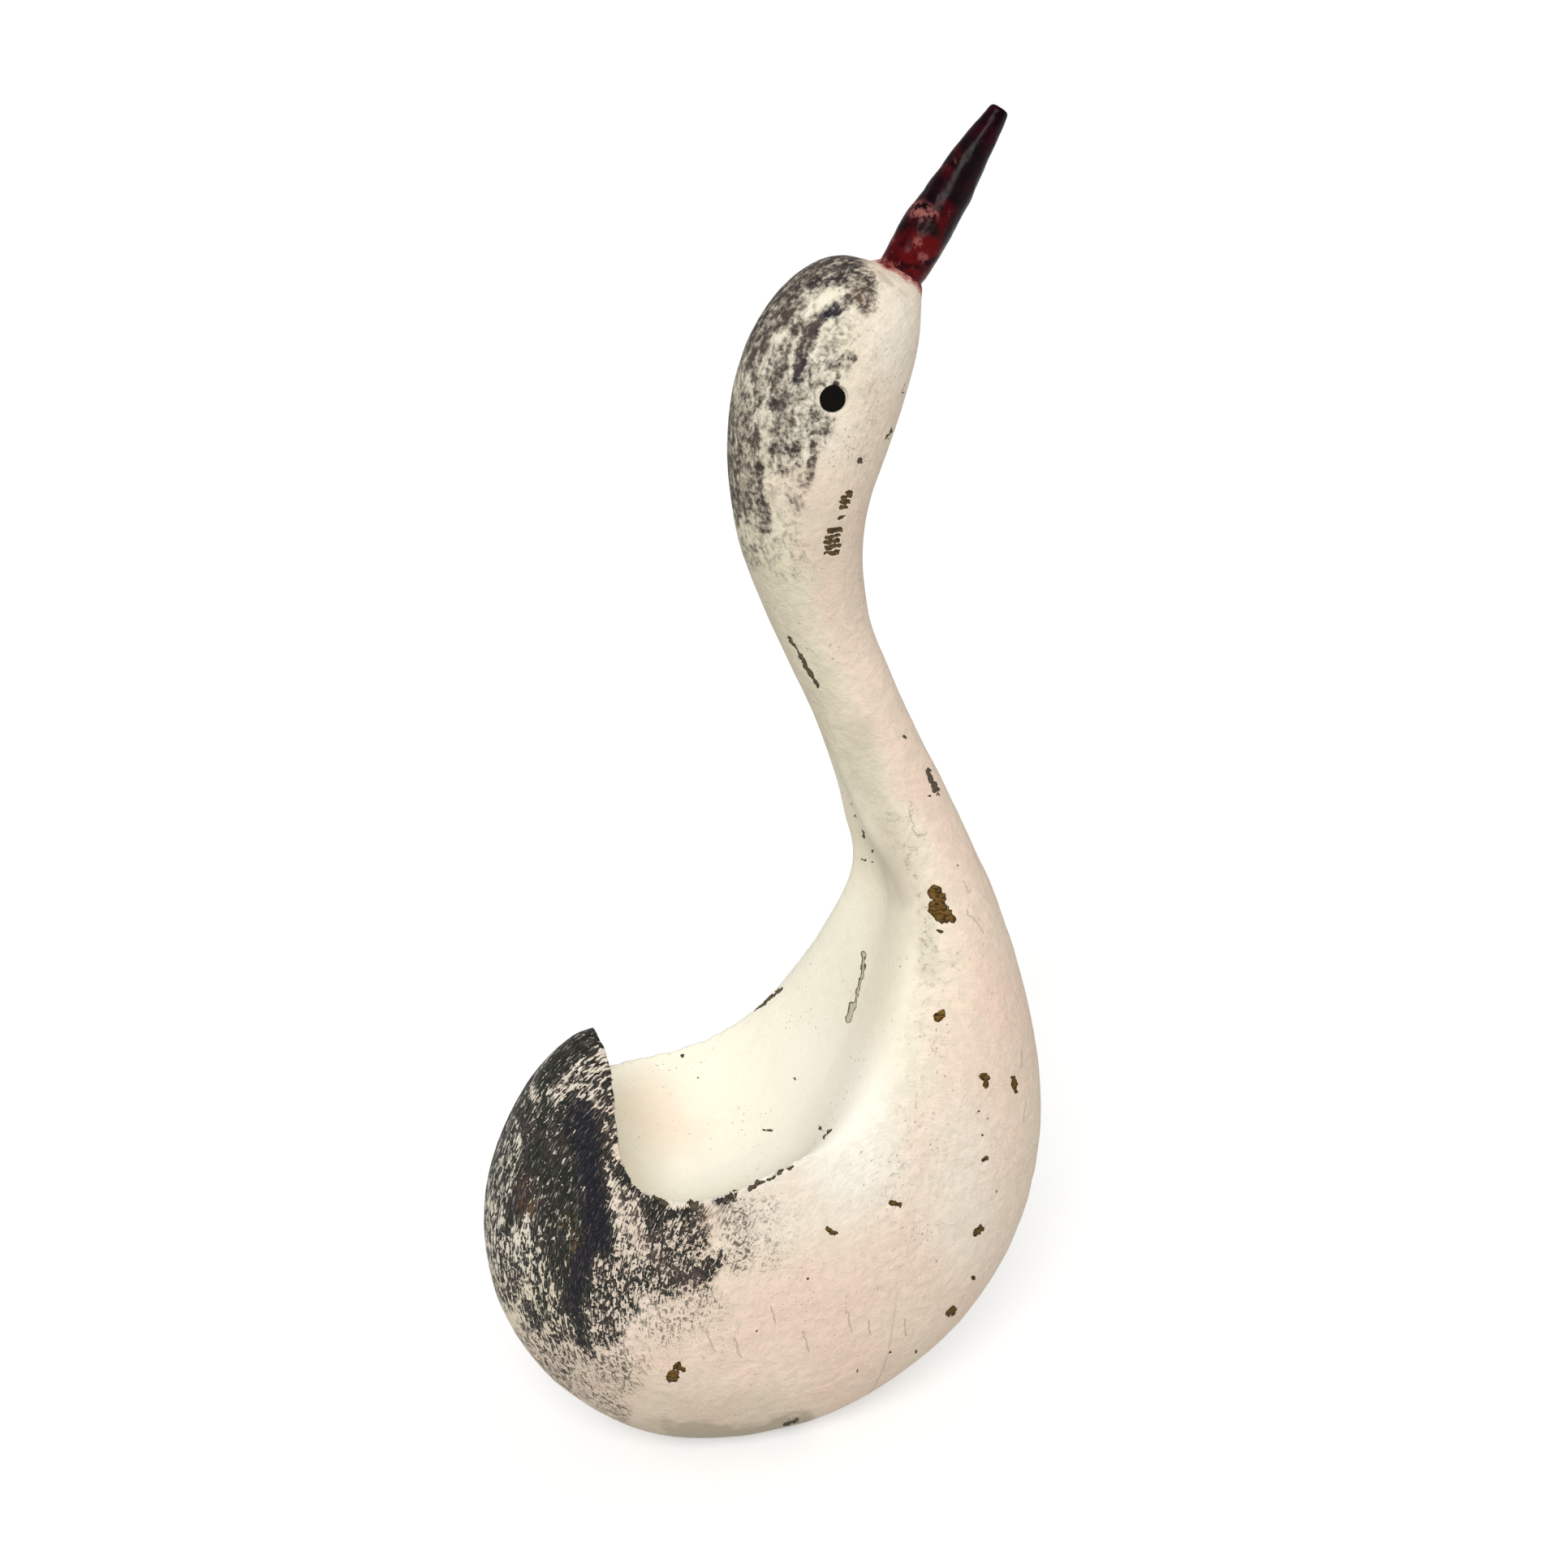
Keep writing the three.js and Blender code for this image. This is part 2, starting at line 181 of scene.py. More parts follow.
GREY_CHIPS = [
    (3.2, (1144, 949), (1148, 961)), (4.4, (1152, 967), (1154, 971)), (1.2, (1146, 980)),
    (1.8, (1115, 908)), (1.6, (971, 786), (988, 813)), (2.6, (986, 808), (1000, 833)),
    (2.2, (1000, 833), (1008, 846)), (3.6, (1060, 568)), (0.9, (1112, 483), (1115, 474)),
    (1.1, (1092, 541), (1098, 527)), (1.7, (1206, 1371)), (1.2, (1219, 1380)), (1.5, (1210, 1400)),
    (1.3, (1229, 1468)), (2.4, (967, 1755), (982, 1750)), (1.8, (1097, 1666)), (2, (1129, 1665)),
    (1.4, (1057, 1687)), (1.6, (932, 1640)), (1.4, (1182, 1067)), (5.5, (896, 1466), (899, 1473)),
    (4.5, (857, 1482), (854, 1488)), (3.6, (812, 1474), (819, 1483)), (2.6, (924, 1464), (933, 1461)),
    (2, (937, 1459), (941, 1456)), (2.2, (946, 1454), (954, 1450)), (2.4, (959, 1446), (964, 1443)),
    (1.8, (970, 1441), (977, 1437)),
]
# Lines of cracks, then marks in the scoop
CRACKS = [
    [(1122, 1000), (1123, 1011), (1128, 1018), (1126, 1023), (1130, 1029), (1140, 1029), (1143, 1026)],
    [(1260, 1295), (1261, 1315)], [(1264, 1358), (1262, 1381)], [(1043, 1615), (1050, 1641)],
    [(1070, 1626), (1073, 1646)], [(1113, 1624), (1116, 1645)],
    [(1190, 1122), (1203, 1136), (1212, 1150)], [(1186, 1086), (1196, 1100)],
    [(870, 1640), (880, 1666)], [(905, 1650), (912, 1672)], [(950, 1610), (955, 1632)],
    [(990, 1640), (996, 1664)],
]
SCOOP_CHIPS = [
    (1.3, (1049, 991)), (1.7, (1053, 1006)), (0.8, (1062, 1025), (1064, 1033)), (1.5, (1075, 1050)),
    (0.9, (1060, 1059), (1065, 1060)), (1, (1074, 1063)), (1.8, (1015, 1401), (1022, 1393)),
    (1.3, (1009, 1388), (1012, 1392)), (1.2, (979, 1329)), (1.5, (942, 1391), (950, 1393)),
    (1.2, (860, 1327)), (2.8, (930, 1243), (940, 1236)), (2.2, (940, 1236), (962, 1218)),
    (2, (840, 1300)),
]
PEELED = [
    (2.3, (1063, 1174), (1064, 1184), (1061, 1202), (1056, 1218), (1052, 1236)),
    (4.4, (1050, 1238), (1044, 1256)),
]
# Value of a field far from all marks
FAR_FROM_MARKS = 5.0

# Black dry-brushed paint, by photo pixels: radius, strength, then the points of the stroke
TAIL_STROKES = [
    (20, 1, (735, 1268), (722, 1286)), (18, 0.94, (720, 1282), (698, 1298), (670, 1330)),
    (30, 0.55, (742, 1312), (705, 1332)), (24, 0.46, (690, 1340), (660, 1352)),
    (26, 0.86, (645, 1378), (692, 1374)), (22, 0.9, (712, 1356), (735, 1395)),
    (12, 0.62, (748, 1325), (757, 1400)), (18, 0.95, (662, 1404), (742, 1404)),
    (18, 1, (660, 1404), (652, 1440), (640, 1480), (630, 1502)), (26, 0.64, (628, 1395), (614, 1460)),
    (26, 0.9, (680, 1425), (676, 1500)), (22, 0.86, (702, 1425), (704, 1530)),
    (24, 0.6, (738, 1575), (744, 1640)), (21, 1, (730, 1400), (732, 1470), (735, 1540)),
    (21, 1, (712, 1545), (708, 1600)), (12, 0.85, (712, 1600), (718, 1650)),
    (8, 0.65, (718, 1650), (724, 1674)), (30, 0.56, (610, 1500), (624, 1590)),
    (22, 0.8, (672, 1510), (685, 1560)), (20, 0.5, (650, 1510), (644, 1560)),
    (22, 0.95, (690, 1540), (704, 1580)), (28, 0.6, (664, 1570), (690, 1640)),
    (15, 0.74, (652, 1618), (660, 1634)), (20, 0.5, (765, 1440), (778, 1475)),
    (22, 0.44, (778, 1490), (776, 1560)), (10, 0.8, (748, 1412), (775, 1456), (795, 1478)),
    (14, 0.88, (796, 1480), (806, 1500)), (9, 0.84, (815, 1490), (860, 1498)),
    (10, 0.86, (886, 1476), (902, 1480)), (22, 0.62, (808, 1512), (824, 1548)),
    (24, 0.6, (850, 1512), (845, 1540)), (16, 0.8, (838, 1576), (868, 1568)),
    (10, 0.55, (868, 1568), (884, 1552)), (20, 0.6, (800, 1565), (838, 1560)),
    (24, 0.56, (788, 1575), (822, 1588)), (12, 0.44, (842, 1594), (872, 1588)),
    (28, 0.54, (760, 1560), (768, 1608)), (22, 0.34, (908, 1495), (910, 1550)),
    (20, 0.18, (942, 1485), (946, 1550)), (32, 0.26, (800, 1625), (870, 1606)),
    (36, 0.36, (700, 1655), (760, 1688)), (24, 0.44, (655, 1640), (690, 1682)),
    (12, 0.34, (688, 1690), (730, 1718), (768, 1740)), (34, 0.1, (800, 1680), (880, 1650)),
    (20, 0.1, (972, 1490), (970, 1540)),
]
BARE_STRIPS = [
    (14, 0.8, (866, 1504), (894, 1498)), (12, 0.4, (900, 1500), (925, 1512)),
    (14, 0.3, (815, 1550), (850, 1580)), (12, 0.3, (772, 1500), (796, 1530)),
]
NAVY_STROKES = [
    (20, 0.8, (720, 1356), (724, 1392), (728, 1440)), (19, 0.9, (728, 1440), (730, 1500), (732, 1536)),
    (14, 0.7, (696, 1378), (712, 1400)), (15, 0.8, (714, 1550), (707, 1600)),
    (9, 0.7, (708, 1600), (714, 1652)),
]
RUST_STROKES = [(9, 0.8, (648, 1450), (653, 1498)), (6, 0.5, (698, 1505), (702, 1545))]
HEAD_STROKES = [
    (24, 0.8, (960, 362), (990, 338), (1046, 326)), (17, 0.76, (1056, 340), (1066, 354)),
    (13, 0.64, (1056, 362), (1072, 374)), (19, 0.8, (982, 374), (950, 396)),
    (22, 0.78, (942, 392), (925, 442)), (10, 0.82, (1046, 368), (1020, 384), (1006, 402)),
    (12, 0.9, (1004, 402), (992, 428)), (9, 0.98, (990, 430), (985, 466)),
    (11, 0.62, (985, 398), (966, 440), (953, 480)), (9, 0.84, (951, 499)),
    (26, 0.54, (940, 440), (913, 520)), (16, 0.66, (925, 530), (936, 560)),
    (9, 0.68, (934, 560), (938, 600), (943, 648)), (28, 0.72, (908, 520), (912, 620)),
    (26, 0.58, (965, 480), (968, 565)), (6, 0.7, (1002, 545), (998, 588)),
    (14, 0.42, (990, 588), (978, 620)), (10, 0.5, (1022, 514), (1012, 540)),
    (28, 0.4, (1030, 400), (1030, 440)), (5, 0.85, (1051, 436), (1056, 440)),
    (4, 0.8, (1037, 442), (1040, 436)), (4, 0.85, (1034, 460), (1031, 472)),
    (30, 0.5, (1002, 460), (990, 525)), (22, 0.18, (1085, 420), (1070, 500), (1050, 560)),
    (24, 0.4, (913, 620), (930, 680)), (34, 0.26, (960, 610), (965, 690)),
]
RUST_HEAD = [(13, 0.9, (1056, 360), (1066, 368))]
NAVY_HEAD = [(16, 0.9, (1040, 374), (1003, 407), (985, 463))]

# Tints and grime of the cream paint, and painted light and painted shade, in the same form
GREEN_AND_SHADE_STROKES = [
    # Painted shade: the first two strokes give the back of the neck and the valley beside it the
    # green-grey cast of the shade there; the other strokes are the paint's own green.
    (44, 0.8, (925, 640), (960, 760), (1010, 880), (1050, 980)),
    (44, 1.3, (1050, 960), (1088, 1070), (1098, 1170)), (60, 0.7, (1020, 1130), (960, 1260)),
    (60, 0.6, (1060, 1250), (1090, 1330)), (50, 0.5, (640, 1420), (650, 1600)),
    (50, 0.6, (930, 420), (910, 600)), (30, 0.3, (1100, 370), (1085, 420)),
    (50, 0.7, (1010, 380), (990, 500)),
]
PINK_TINT = [
    # Pinker and a little darker along the edge of the breast, round the underside and in the scoop by
    # the tail.
    (34, 0.9, (1100, 890), (1120, 960)), (30, 0.8, (1180, 1060), (1215, 1180)),
    (46, 0.9, (1225, 1250), (1215, 1380)),
    (60, 0.8, (1200, 1450), (1120, 1560), (980, 1640), (800, 1640)),
    (36, 0.6, (1040, 760), (1075, 840)), (40, 0.6, (800, 1360), (830, 1400)),
    (24, 0.5, (760, 1440), (780, 1500)),
]
WHITE_AND_LIGHT_STROKES = [
    # Painted light: the first three strokes whiten the scoop and its near lip, where light falls full
    # on them; the others whiten the tail's pale flecks, the head, the brow and the right of the belly.
    (70, 0.9, (1020, 1340), (1050, 1430)), (36, 0.8, (850, 1450), (930, 1430), (1000, 1420)),
    (34, 0.4, (920, 1500), (1000, 1490)), (40, 0.4, (1105, 385), (1098, 430)),
    (60, 0.5, (700, 1320), (640, 1430), (640, 1500)), (50, 0.3, (770, 1480), (790, 1560), (760, 1600)),
    (60, 0.3, (1000, 360), (960, 440), (1000, 520)), (50, 0.4, (1180, 1400), (1180, 1520)),
]
DIRT_AND_SHADE_STROKES = [
    # Painted shade: these strokes darken the valley and fold beside the neck, the back of the neck and
    # the lower edge of the underside, where shade falls; the last two are real grime by the beak's
    # root.
    (22, 0.55, (1052, 900), (1068, 960), (1100, 1040), (1122, 1090)),
    (14, 0.4, (1138, 1120), (1142, 1190)), (26, 0.3, (940, 700), (985, 800), (1030, 900)),
    (30, 0.35, (700, 1690), (800, 1735), (950, 1745)), (12, 0.7, (760, 1752), (820, 1766)),
    (15, 1.6, (830, 1767), (900, 1771), (990, 1760)), (24, 0.3, (700, 1700), (760, 1730)),
    (40, 0.22, (1000, 640), (1030, 740)), (3.5, 0.8, (1084, 334), (1092, 345), (1099, 352)),
    (3, 0.5, (1109, 357), (1117, 362)),
]
PITTED = [
    (14, 0.9, (1118, 1060), (1128, 1110), (1140, 1180)), (18, 0.7, (1145, 1160), (1168, 1180)),
    (24, 0.5, (1150, 1200), (1150, 1290)), (50, 0.3, (1180, 1400), (1100, 1560)),
    (50, 0.2, (960, 1600), (880, 1680)), (26, 0.5, (1110, 1000), (1120, 1050)),
    (16, 0.5, (1128, 1330), (1112, 1420), (1092, 1500)),
]

# Wear of the beak, in the same form, and the lines of a bump and a nick
BEAK_RED = [
    (22, 1, (1135, 300), (1122, 335)), (14, 1, (1148, 300), (1135, 340)),
    (13, 0.8, (1112, 300), (1096, 322)), (12, 0.7, (1160, 262), (1150, 290)),
    (9, 0.5, (1180, 190), (1168, 215)),
]
BEAK_WORN = [
    (9, 1, (1129, 257), (1146, 264)), (4, 0.8, (1178, 196)), (5, 0.9, (1132, 296), (1128, 304)),
    (4, 0.8, (1136, 316), (1137, 322)), (6, 0.8, (1090, 322), (1100, 334)),
    (6, 0.7, (1112, 345), (1128, 352)), (3, 0.7, (1100, 297)),
]
BEAK_BLACK = [
    (8, 1, (1146, 276), (1152, 283)), (7, 0.8, (1133, 280), (1140, 284)),
    (14, 0.7, (1200, 180), (1180, 230)),
]
BEAK_BUMP = [(1127, 258), (1140, 262)]
BEAK_NICK = [(1146, 276), (1140, 283)]

# Slivers of wood that stand up along the near rim: photo pixel across, half width, height
SLIVERS = [
    (811, 9.0, 1.3), (820, 4.0, 0.9), (851, 5.5, 1.9), (860, 4.0, 0.8), (888, 5.0, 1.2),
    (897, 4.5, 1.7), (906, 4.0, 1.1), (934, 6.5, 0.6), (957, 5.0, 0.5),
]
SPLINTERED_RIM = [(792, 1466), (850, 1487), (905, 1475), (980, 1436)]
# Moves of the rim: photo pixel, shift and reach in millimetres, and 1 if on both sides
RIM_MOVES = [((870, 1484), (-2.6, 0, 1.6), 11.5, 1), ((978, 1453), (0.0, 0, 2.2), 7.5, 0)]
# Soft fold between scoop and breast: photo pixel, widths and shift in pixels
FOLD_PLACE = (1098, 1105)
FOLD_WIDTH = (30, 105)
FOLD_SHIFT = 17
# Edge between scoop and breast that the carver rounded over, and its softest stretch
ROUNDED_EDGE = [
    (1052, 1010), (1087, 1059), (1108, 1088), (1114, 1130), (1110, 1180), (1102, 1213), (1085, 1297),
    (1062, 1362),
]
SOFTEST_EDGE = [(1108, 1200), (1100, 1240), (1085, 1297), (1064, 1356)]
# Line, pixels from it where the rounding begins and is full, and rounds
ROUNDINGS = [(ROUNDED_EDGE, 66, 20, 150), (SOFTEST_EDGE, 105, 35, 450)]


def strokes(u, v, marks):
    """Strength of the strongest stroke over each pixel, fading out over its edge."""
    total = 0.0
    for radius, strength, *line in marks:
        away = line_distance(u, v, line) / radius
        total = np.maximum(total, strength * ramp(1.7, 0.3, away))
    return total


def nearest_mark(u, v, marks):
    """Distance from the edge of the nearest mark in about millimetres, below 0 inside it."""
    best = FAR_FROM_MARKS
    for radius, *line in marks:
        reach = min(radius * PHOTO_PIXEL / MM, 0.8)
        best = np.minimum(best, (line_distance(u, v, line) / radius - 1) * reach)
    return best


# Fine mesh of the carving

VOXEL = 0.5 * MM
SMOOTHING = 3
HOLE_MARGIN = 0.6 * MM
JOINT_REACH = 14 * MM
EYE_REACH = 9 * MM
EYE_BULGE = 0.1 * MM
BEAK_BORE_RADIUS = 3.4 * MM
BEAK_BORE_REACH = 40 * MM
ROOT_REACH = 8 * MM
# Edges of the scoop: least turn in degrees, lowest and highest level, and half width
RIM_TURN = 38
RIM_LEVELS = (55 * MM, 90 * MM)
RIM_WIDTH = 27 * MM
# Zones of finer faces round an eye, and along and out from the beak's root
EYE_ZONE = 3.3 * MM
ROOT_ZONE = (1.8 * MM, 6 * MM)


def place_on(points, middle, axis):
    """Distances of points along an axis from its middle, and out from it."""
    offset = points - np.array(middle)
    along = offset @ np.array(axis)
    return along, np.linalg.norm(offset - np.outer(along, axis), axis=1)


def pin_axis(name):
    """Middle of a round pin, the direction of its axis upwards, its reach and its radius."""
    points = points_of(cad[name].data)
    middle = points.mean(0)
    axis = np.linalg.svd(points - middle, full_matrices=False)[2][0]
    axis *= np.sign(axis[2])
    along, out = place_on(points, middle, axis)
    return Vector(middle), Vector(axis), along.max(), out.max()


joint_middle, joint_axis, dowel_reach, dowel_radius = pin_axis("neck_dowel")
beak_middle, beak_axis = pin_axis("beak")[:2]
head_reach = place_on(points_of(cad["neck_and_head"].data), beak_middle, beak_axis)[0].max()
beak_root = beak_middle + beak_axis * float(head_reach)


def eye_place(name):
    """Middle of an eye's outer end, its radius and length, and its side, 1 or -1 along Y."""
    low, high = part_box(name)
    side = 1 if high.y > 0 else -1
    middle = Vector(((low.x + high.x) / 2, high.y if side > 0 else low.y, (low.z + high.z) / 2))
    return middle, (high.x - low.x) / 2, high.y - low.y, side


def welded(*names):
    """The solids of these nodes in one bmesh, with the vertices that lie together merged."""
    bm = bmesh.new()
    for name in names:
        bm.from_mesh(cad[name].data)
    bmesh.ops.remove_doubles(bm, verts=bm.verts, dist=1e-6)
    return bm


def mesh_from(bm, name):
    """A new mesh from a bmesh, which is freed."""
    mesh = bpy.data.meshes.new(name)
    bm.to_mesh(mesh)
    bm.free()
    return mesh


def clear_bore(bm, middle, axis, radius, reach):
    """Removes the wall of a bored hole and the faces that touch it."""
    inside = []
    for vert in bm.verts:
        offset = vert.co - middle
        along = offset.dot(axis)
        if abs(along) < reach and (offset - along * axis).length < radius:
            inside.append(vert)
    bmesh.ops.delete(bm, geom=inside, context="VERTS")


def clear_end(bm, middle, axis, reach):
    """Removes what is left of a flat end face that is square to the axis."""
    flat = [
        face for face in bm.faces
        if abs(face.normal.dot(axis)) > 0.995
        and (face.calc_center_median() - middle).length < reach
    ]
    bmesh.ops.delete(bm, geom=flat, context="FACES")


def open_edges(bm, middle, reach):
    return [
        edge for edge in bm.edges
        if edge.is_boundary and (edge.verts[0].co - middle).length < reach
    ]


def close_hole(bm, middle, reach, peak=None):
    """Fills an opening with a fan of faces round a point that may stand proud."""
    filled = bmesh.ops.contextual_create(bm, geom=open_edges(bm, middle, reach))["faces"]
    hub = bmesh.ops.poke(bm, faces=filled)["verts"][0]
    if peak is not None:
        hub.co = peak


def join_flat(bm, bend, skew):
    """Joins triangles into four-sided faces where they bend and skew less than these degrees."""
    bmesh.ops.join_triangles(
        bm, faces=bm.faces, angle_face_threshold=math.radians(bend),
        angle_shape_threshold=math.radians(skew),
    )


def crease(bm, low, high, share=lambda edge: 1.0):
    """Keeps edges sharp that turn by more than low degrees, and wholly so at high degrees."""
    layer = bm.edges.layers.float.new("crease_edge")
    for edge in bm.edges:
        turn = math.degrees(edge.calc_face_angle(0))
        edge[layer] = float(ramp(low, high, turn)) * share(edge)


def carving_mesh():
    """Body, neck and head as one closed mesh, with the holes and the joint closed."""
    bm = welded("body", "neck_and_head")
    bore_reach = dowel_reach + 2 * HOLE_MARGIN
    clear_bore(bm, joint_middle, joint_axis, dowel_radius + HOLE_MARGIN, bore_reach)
    clear_end(bm, joint_middle, joint_axis, JOINT_REACH)
    bmesh.ops.bridge_loops(bm, edges=open_edges(bm, joint_middle, JOINT_REACH))
    for name in EYES:
        middle, radius, length, side = eye_place(name)
        clear_bore(bm, middle, Vector((0, 1, 0)), radius + HOLE_MARGIN, length + 2 * MM)
        close_hole(bm, middle, EYE_REACH, peak=middle + Vector((0, side * EYE_BULGE, 0)))
    clear_bore(bm, beak_middle, beak_axis, BEAK_BORE_RADIUS, BEAK_BORE_REACH)
    clear_end(bm, beak_root, beak_axis, ROOT_REACH)
    close_hole(bm, beak_root, ROOT_REACH)
    bmesh.ops.recalc_face_normals(bm, faces=bm.faces)
    join_flat(bm, 50, 70)
    crease(bm, 28, 60)
    return mesh_from(bm, "carving")


def add_piece(mesh, name):
    thing = bpy.data.objects.new(name, mesh)
    bpy.context.scene.collection.objects.link(thing)
    return thing


def modified(mesh, kind, **settings):
    """The mesh with one modifier applied, as a new mesh."""
    thing = add_piece(mesh, "modified")
    modifier = thing.modifiers.new("modifier", kind)
    for key, value in settings.items():
        setattr(modifier, key, value)
    graph = bpy.context.evaluated_depsgraph_get()
    mesh = bpy.data.meshes.new_from_object(thing.evaluated_get(graph))
    bpy.data.objects.remove(thing)
    return mesh


def relaxed(mesh, weights, share=None):
    """Moves points to or from the middle of their neighbours, once for each weight.

    The share, where given, is how far each point takes part, from 0 to 1.
    """
    points = points_of(mesh)
    if share is None:
        share = np.ones(len(points))
    edges = np.empty(len(mesh.edges) * 2, np.int64)
    mesh.edges.foreach_get("vertices", edges)
    edges = edges.reshape(-1, 2)
    used, ends = np.unique(edges[(share[edges] > 0).any(1)], return_inverse=True)
    a, b = ends.reshape(-1, 2).T
    size = len(used)
    count = np.bincount(ends.ravel())
    moved = points[used]
    for weight in weights:
        total = [np.bincount(a, row[b], size) + np.bincount(b, row[a], size) for row in moved.T]
        moved += weight * share[used][:, None] * ((total / count).T - moved)
    points[used] = moved
    set_points(mesh, points)


def rim_points():
    """Points along the sharp edges of the scoop."""
    bm = welded("body")
    found = []
    for edge in bm.edges:
        sharp = edge.is_manifold and math.degrees(edge.calc_face_angle(0)) > RIM_TURN
        start, end = (vert.co for vert in edge.verts)
        middle = (start + end) / 2
        in_scoop = RIM_LEVELS[0] < middle.z < RIM_LEVELS[1] and abs(middle.y) < RIM_WIDTH
        if sharp and in_scoop:
            found += [start.lerp(end, share) for share in np.linspace(0, 1, 12)]
    bm.free()
    return found


def side_of_rim(points, normals):
    """Above 0 inside the scoop, below 0 on the outside of the carving."""
    inward = np.stack([
        SCOOP_CENTRE[0] - points[:, 0],
        np.zeros(len(points)),
        SCOOP_CENTRE[1] - points[:, 2],
    ], 1)
    inward /= np.linalg.norm(inward, axis=1)[:, None]
    facing = (normals * inward).sum(1)
    leaning = normals[:, 1] * np.sign(points[:, 1])
    return facing - 0.6 * leaning


def sure_reach(points):
    """Millimetres from the rim within which the nearest rim point tells the side."""
    u, v = photo_pixels(points, True)
    return 2.5 + 3.5 * ramp(1000, 960, u)


def rim_distance(points, rim, inside):
    """Millimetres from the sharp rim of the scoop: above 0 on its inner side."""
    tree = kdtree.KDTree(len(rim))
    for number, point in enumerate(rim):
        tree.insert(point, number)
    tree.balance()
    found = [tree.find(p) for p in points]
    nearest = np.array([f[0] for f in found])
    away = np.array([f[2] for f in found]) / MM
    inward = np.stack([SCOOP_CENTRE[0] - nearest[:, 0], -nearest[:, 1]], 1)
    inward /= np.linalg.norm(inward, axis=1)[:, None]
    beyond = ((points - nearest)[:, :2] * inward).sum(1) > 0
    inner = np.where(away < sure_reach(points), beyond, inside)
    return np.where(inner, away, -away)


def neck_share(points):
    """0 on the body, 1 on the head and a smooth change up the neck."""
    return ramp(118 * MM, 160 * MM, points[:, 2])


def wear_fields(mesh, rim):
    """Where each mark of wear, tint, painted light and painted shade lies on the mesh, as a dictionary
    of values per vertex.
    """
    points = points_of(mesh)
    side = side_of_rim(points, normals_of(mesh))
    inside = (side > 0.25) & (points[:, 2] < SCOOP_TOP)
    rim_away = rim_distance(points, rim, inside)
    inside = np.where(np.abs(rim_away) < sure_reach(points), rim_away > 0, inside)
    u, v = photo_pixels(points, ~inside)
    ragged_u = u + 1.8 * waves(points, 0.9 * MM, 61)
    ragged_v = v + 1.8 * waves(points, 0.9 * MM, 62)
    on_tail = points[:, 2] < NECK_LEVEL
    loose = 1 - 0.5 * neck_share(points)
    wide_u = u + loose * (6 * waves(points, 8 * MM, 63) + 4 * waves(points, 2.4 * MM, 64))
    wide_v = v + loose * (9 * waves(points, 9 * MM, 65) + 6 * waves(points, 2.8 * MM, 66))

    def ragged(marks):
        return nearest_mark(ragged_u, ragged_v, marks)

    def brushed(marks):
        return strokes(wide_u, wide_v, marks)

    def either(tail_marks, head_marks):
        return np.where(on_tail, brushed(tail_marks), brushed(head_marks))

    twin = 3 * ramp(0.2 * MM, 1.0 * MM, points[:, 1]) * ramp(9 * MM, 7 * MM, points[:, 1])
    brown, grey = ragged(BROWN_CHIPS) + twin, ragged(GREY_CHIPS) + twin
    scoop_grey = ragged(SCOOP_CHIPS)
    scoop_grey = np.where(np.abs(rim_away) < 1.5, np.minimum(scoop_grey, grey), scoop_grey)
    crack = np.min([line_distance(ragged_u, ragged_v, line) for line in CRACKS], 0)
    return {
        "inside": ramp(0.0, 0.5, side) * ramp(SCOOP_TOP, 118 * MM, points[:, 2]),
        "rim": rim_away,
        "chip": np.where(inside, scoop_grey, np.minimum(brown, grey)),
        "tone": np.where(inside | (grey < brown), 1.0, np.where(on_tail, 0.0, 0.35)),
        "peeled": np.where(inside, ragged(PEELED), FAR_FROM_MARKS),
        "crack": np.where(inside, FAR_FROM_MARKS, crack) * PHOTO_PIXEL / MM,
        "dark": either(TAIL_STROKES, HEAD_STROKES) * ramp(1.3, 0.6, rim_away),
        "navy": either(NAVY_STROKES, NAVY_HEAD),
        "rust": either(RUST_STROKES, RUST_HEAD),
        "bare": np.where(on_tail, brushed(BARE_STRIPS), 0),
        # Green strokes: the paint's own green, and painted shade on the back of the neck and in the
        # valley beside it.
        "green": brushed(GREEN_AND_SHADE_STROKES),
        "pink": brushed(PINK_TINT),
        # White strokes: painted light on the scoop and its near lip, and the paint's paler flecks.
        "white": brushed(WHITE_AND_LIGHT_STROKES),
        "ridge": brushed([(52, 1.0, *ROUNDED_EDGE[:-1])]),
        # Darker strokes: painted shade in the valley by the neck, on the neck and along the underside,
        # and grime by the beak.
        "dirt_and_shade": brushed(DIRT_AND_SHADE_STROKES),
        "pitted": np.where(inside, 0, brushed(PITTED)),
        "u": u,
        "v": v,
    }


def stroke_coordinates(points):
    """Distance along and across the brush strokes, in millimetres.

    The third value is 1 where the strokes fade out, near the middle line of breast and throat,
    because the distance across them jumps there.
    """
    found = []
    for centre, core, width in (BODY_TURN, HEAD_TURN):
        out = np.hypot(points[:, 0] - centre[0], points[:, 2] - centre[1])
        turn = np.arctan2(centre[0] - points[:, 0], points[:, 2] - centre[1])
        across = np.arctan2(points[:, 1], out - core)
        faded = ramp(1.9, 2.8, np.abs(across))
        found.append((turn * core / MM * -1.4, across * width, faded))
    share = neck_share(points)
    return [low + share * (high - low) for low, high in zip(*found)]


def rim_shift(points, centre, shift, reach, both):
    """How far each point moves with the rim round a place on it."""
    near = points.copy()
    near[:, 1] = -np.abs(near[:, 1])
    away = np.linalg.norm(near - centre, axis=1) / (reach * MM)
    share = np.exp(-0.5 * away ** 2)
    share *= np.maximum(both, ramp(0, -8 * MM, points[:, 1]))
    return share[:, None] * np.array(shift) * MM


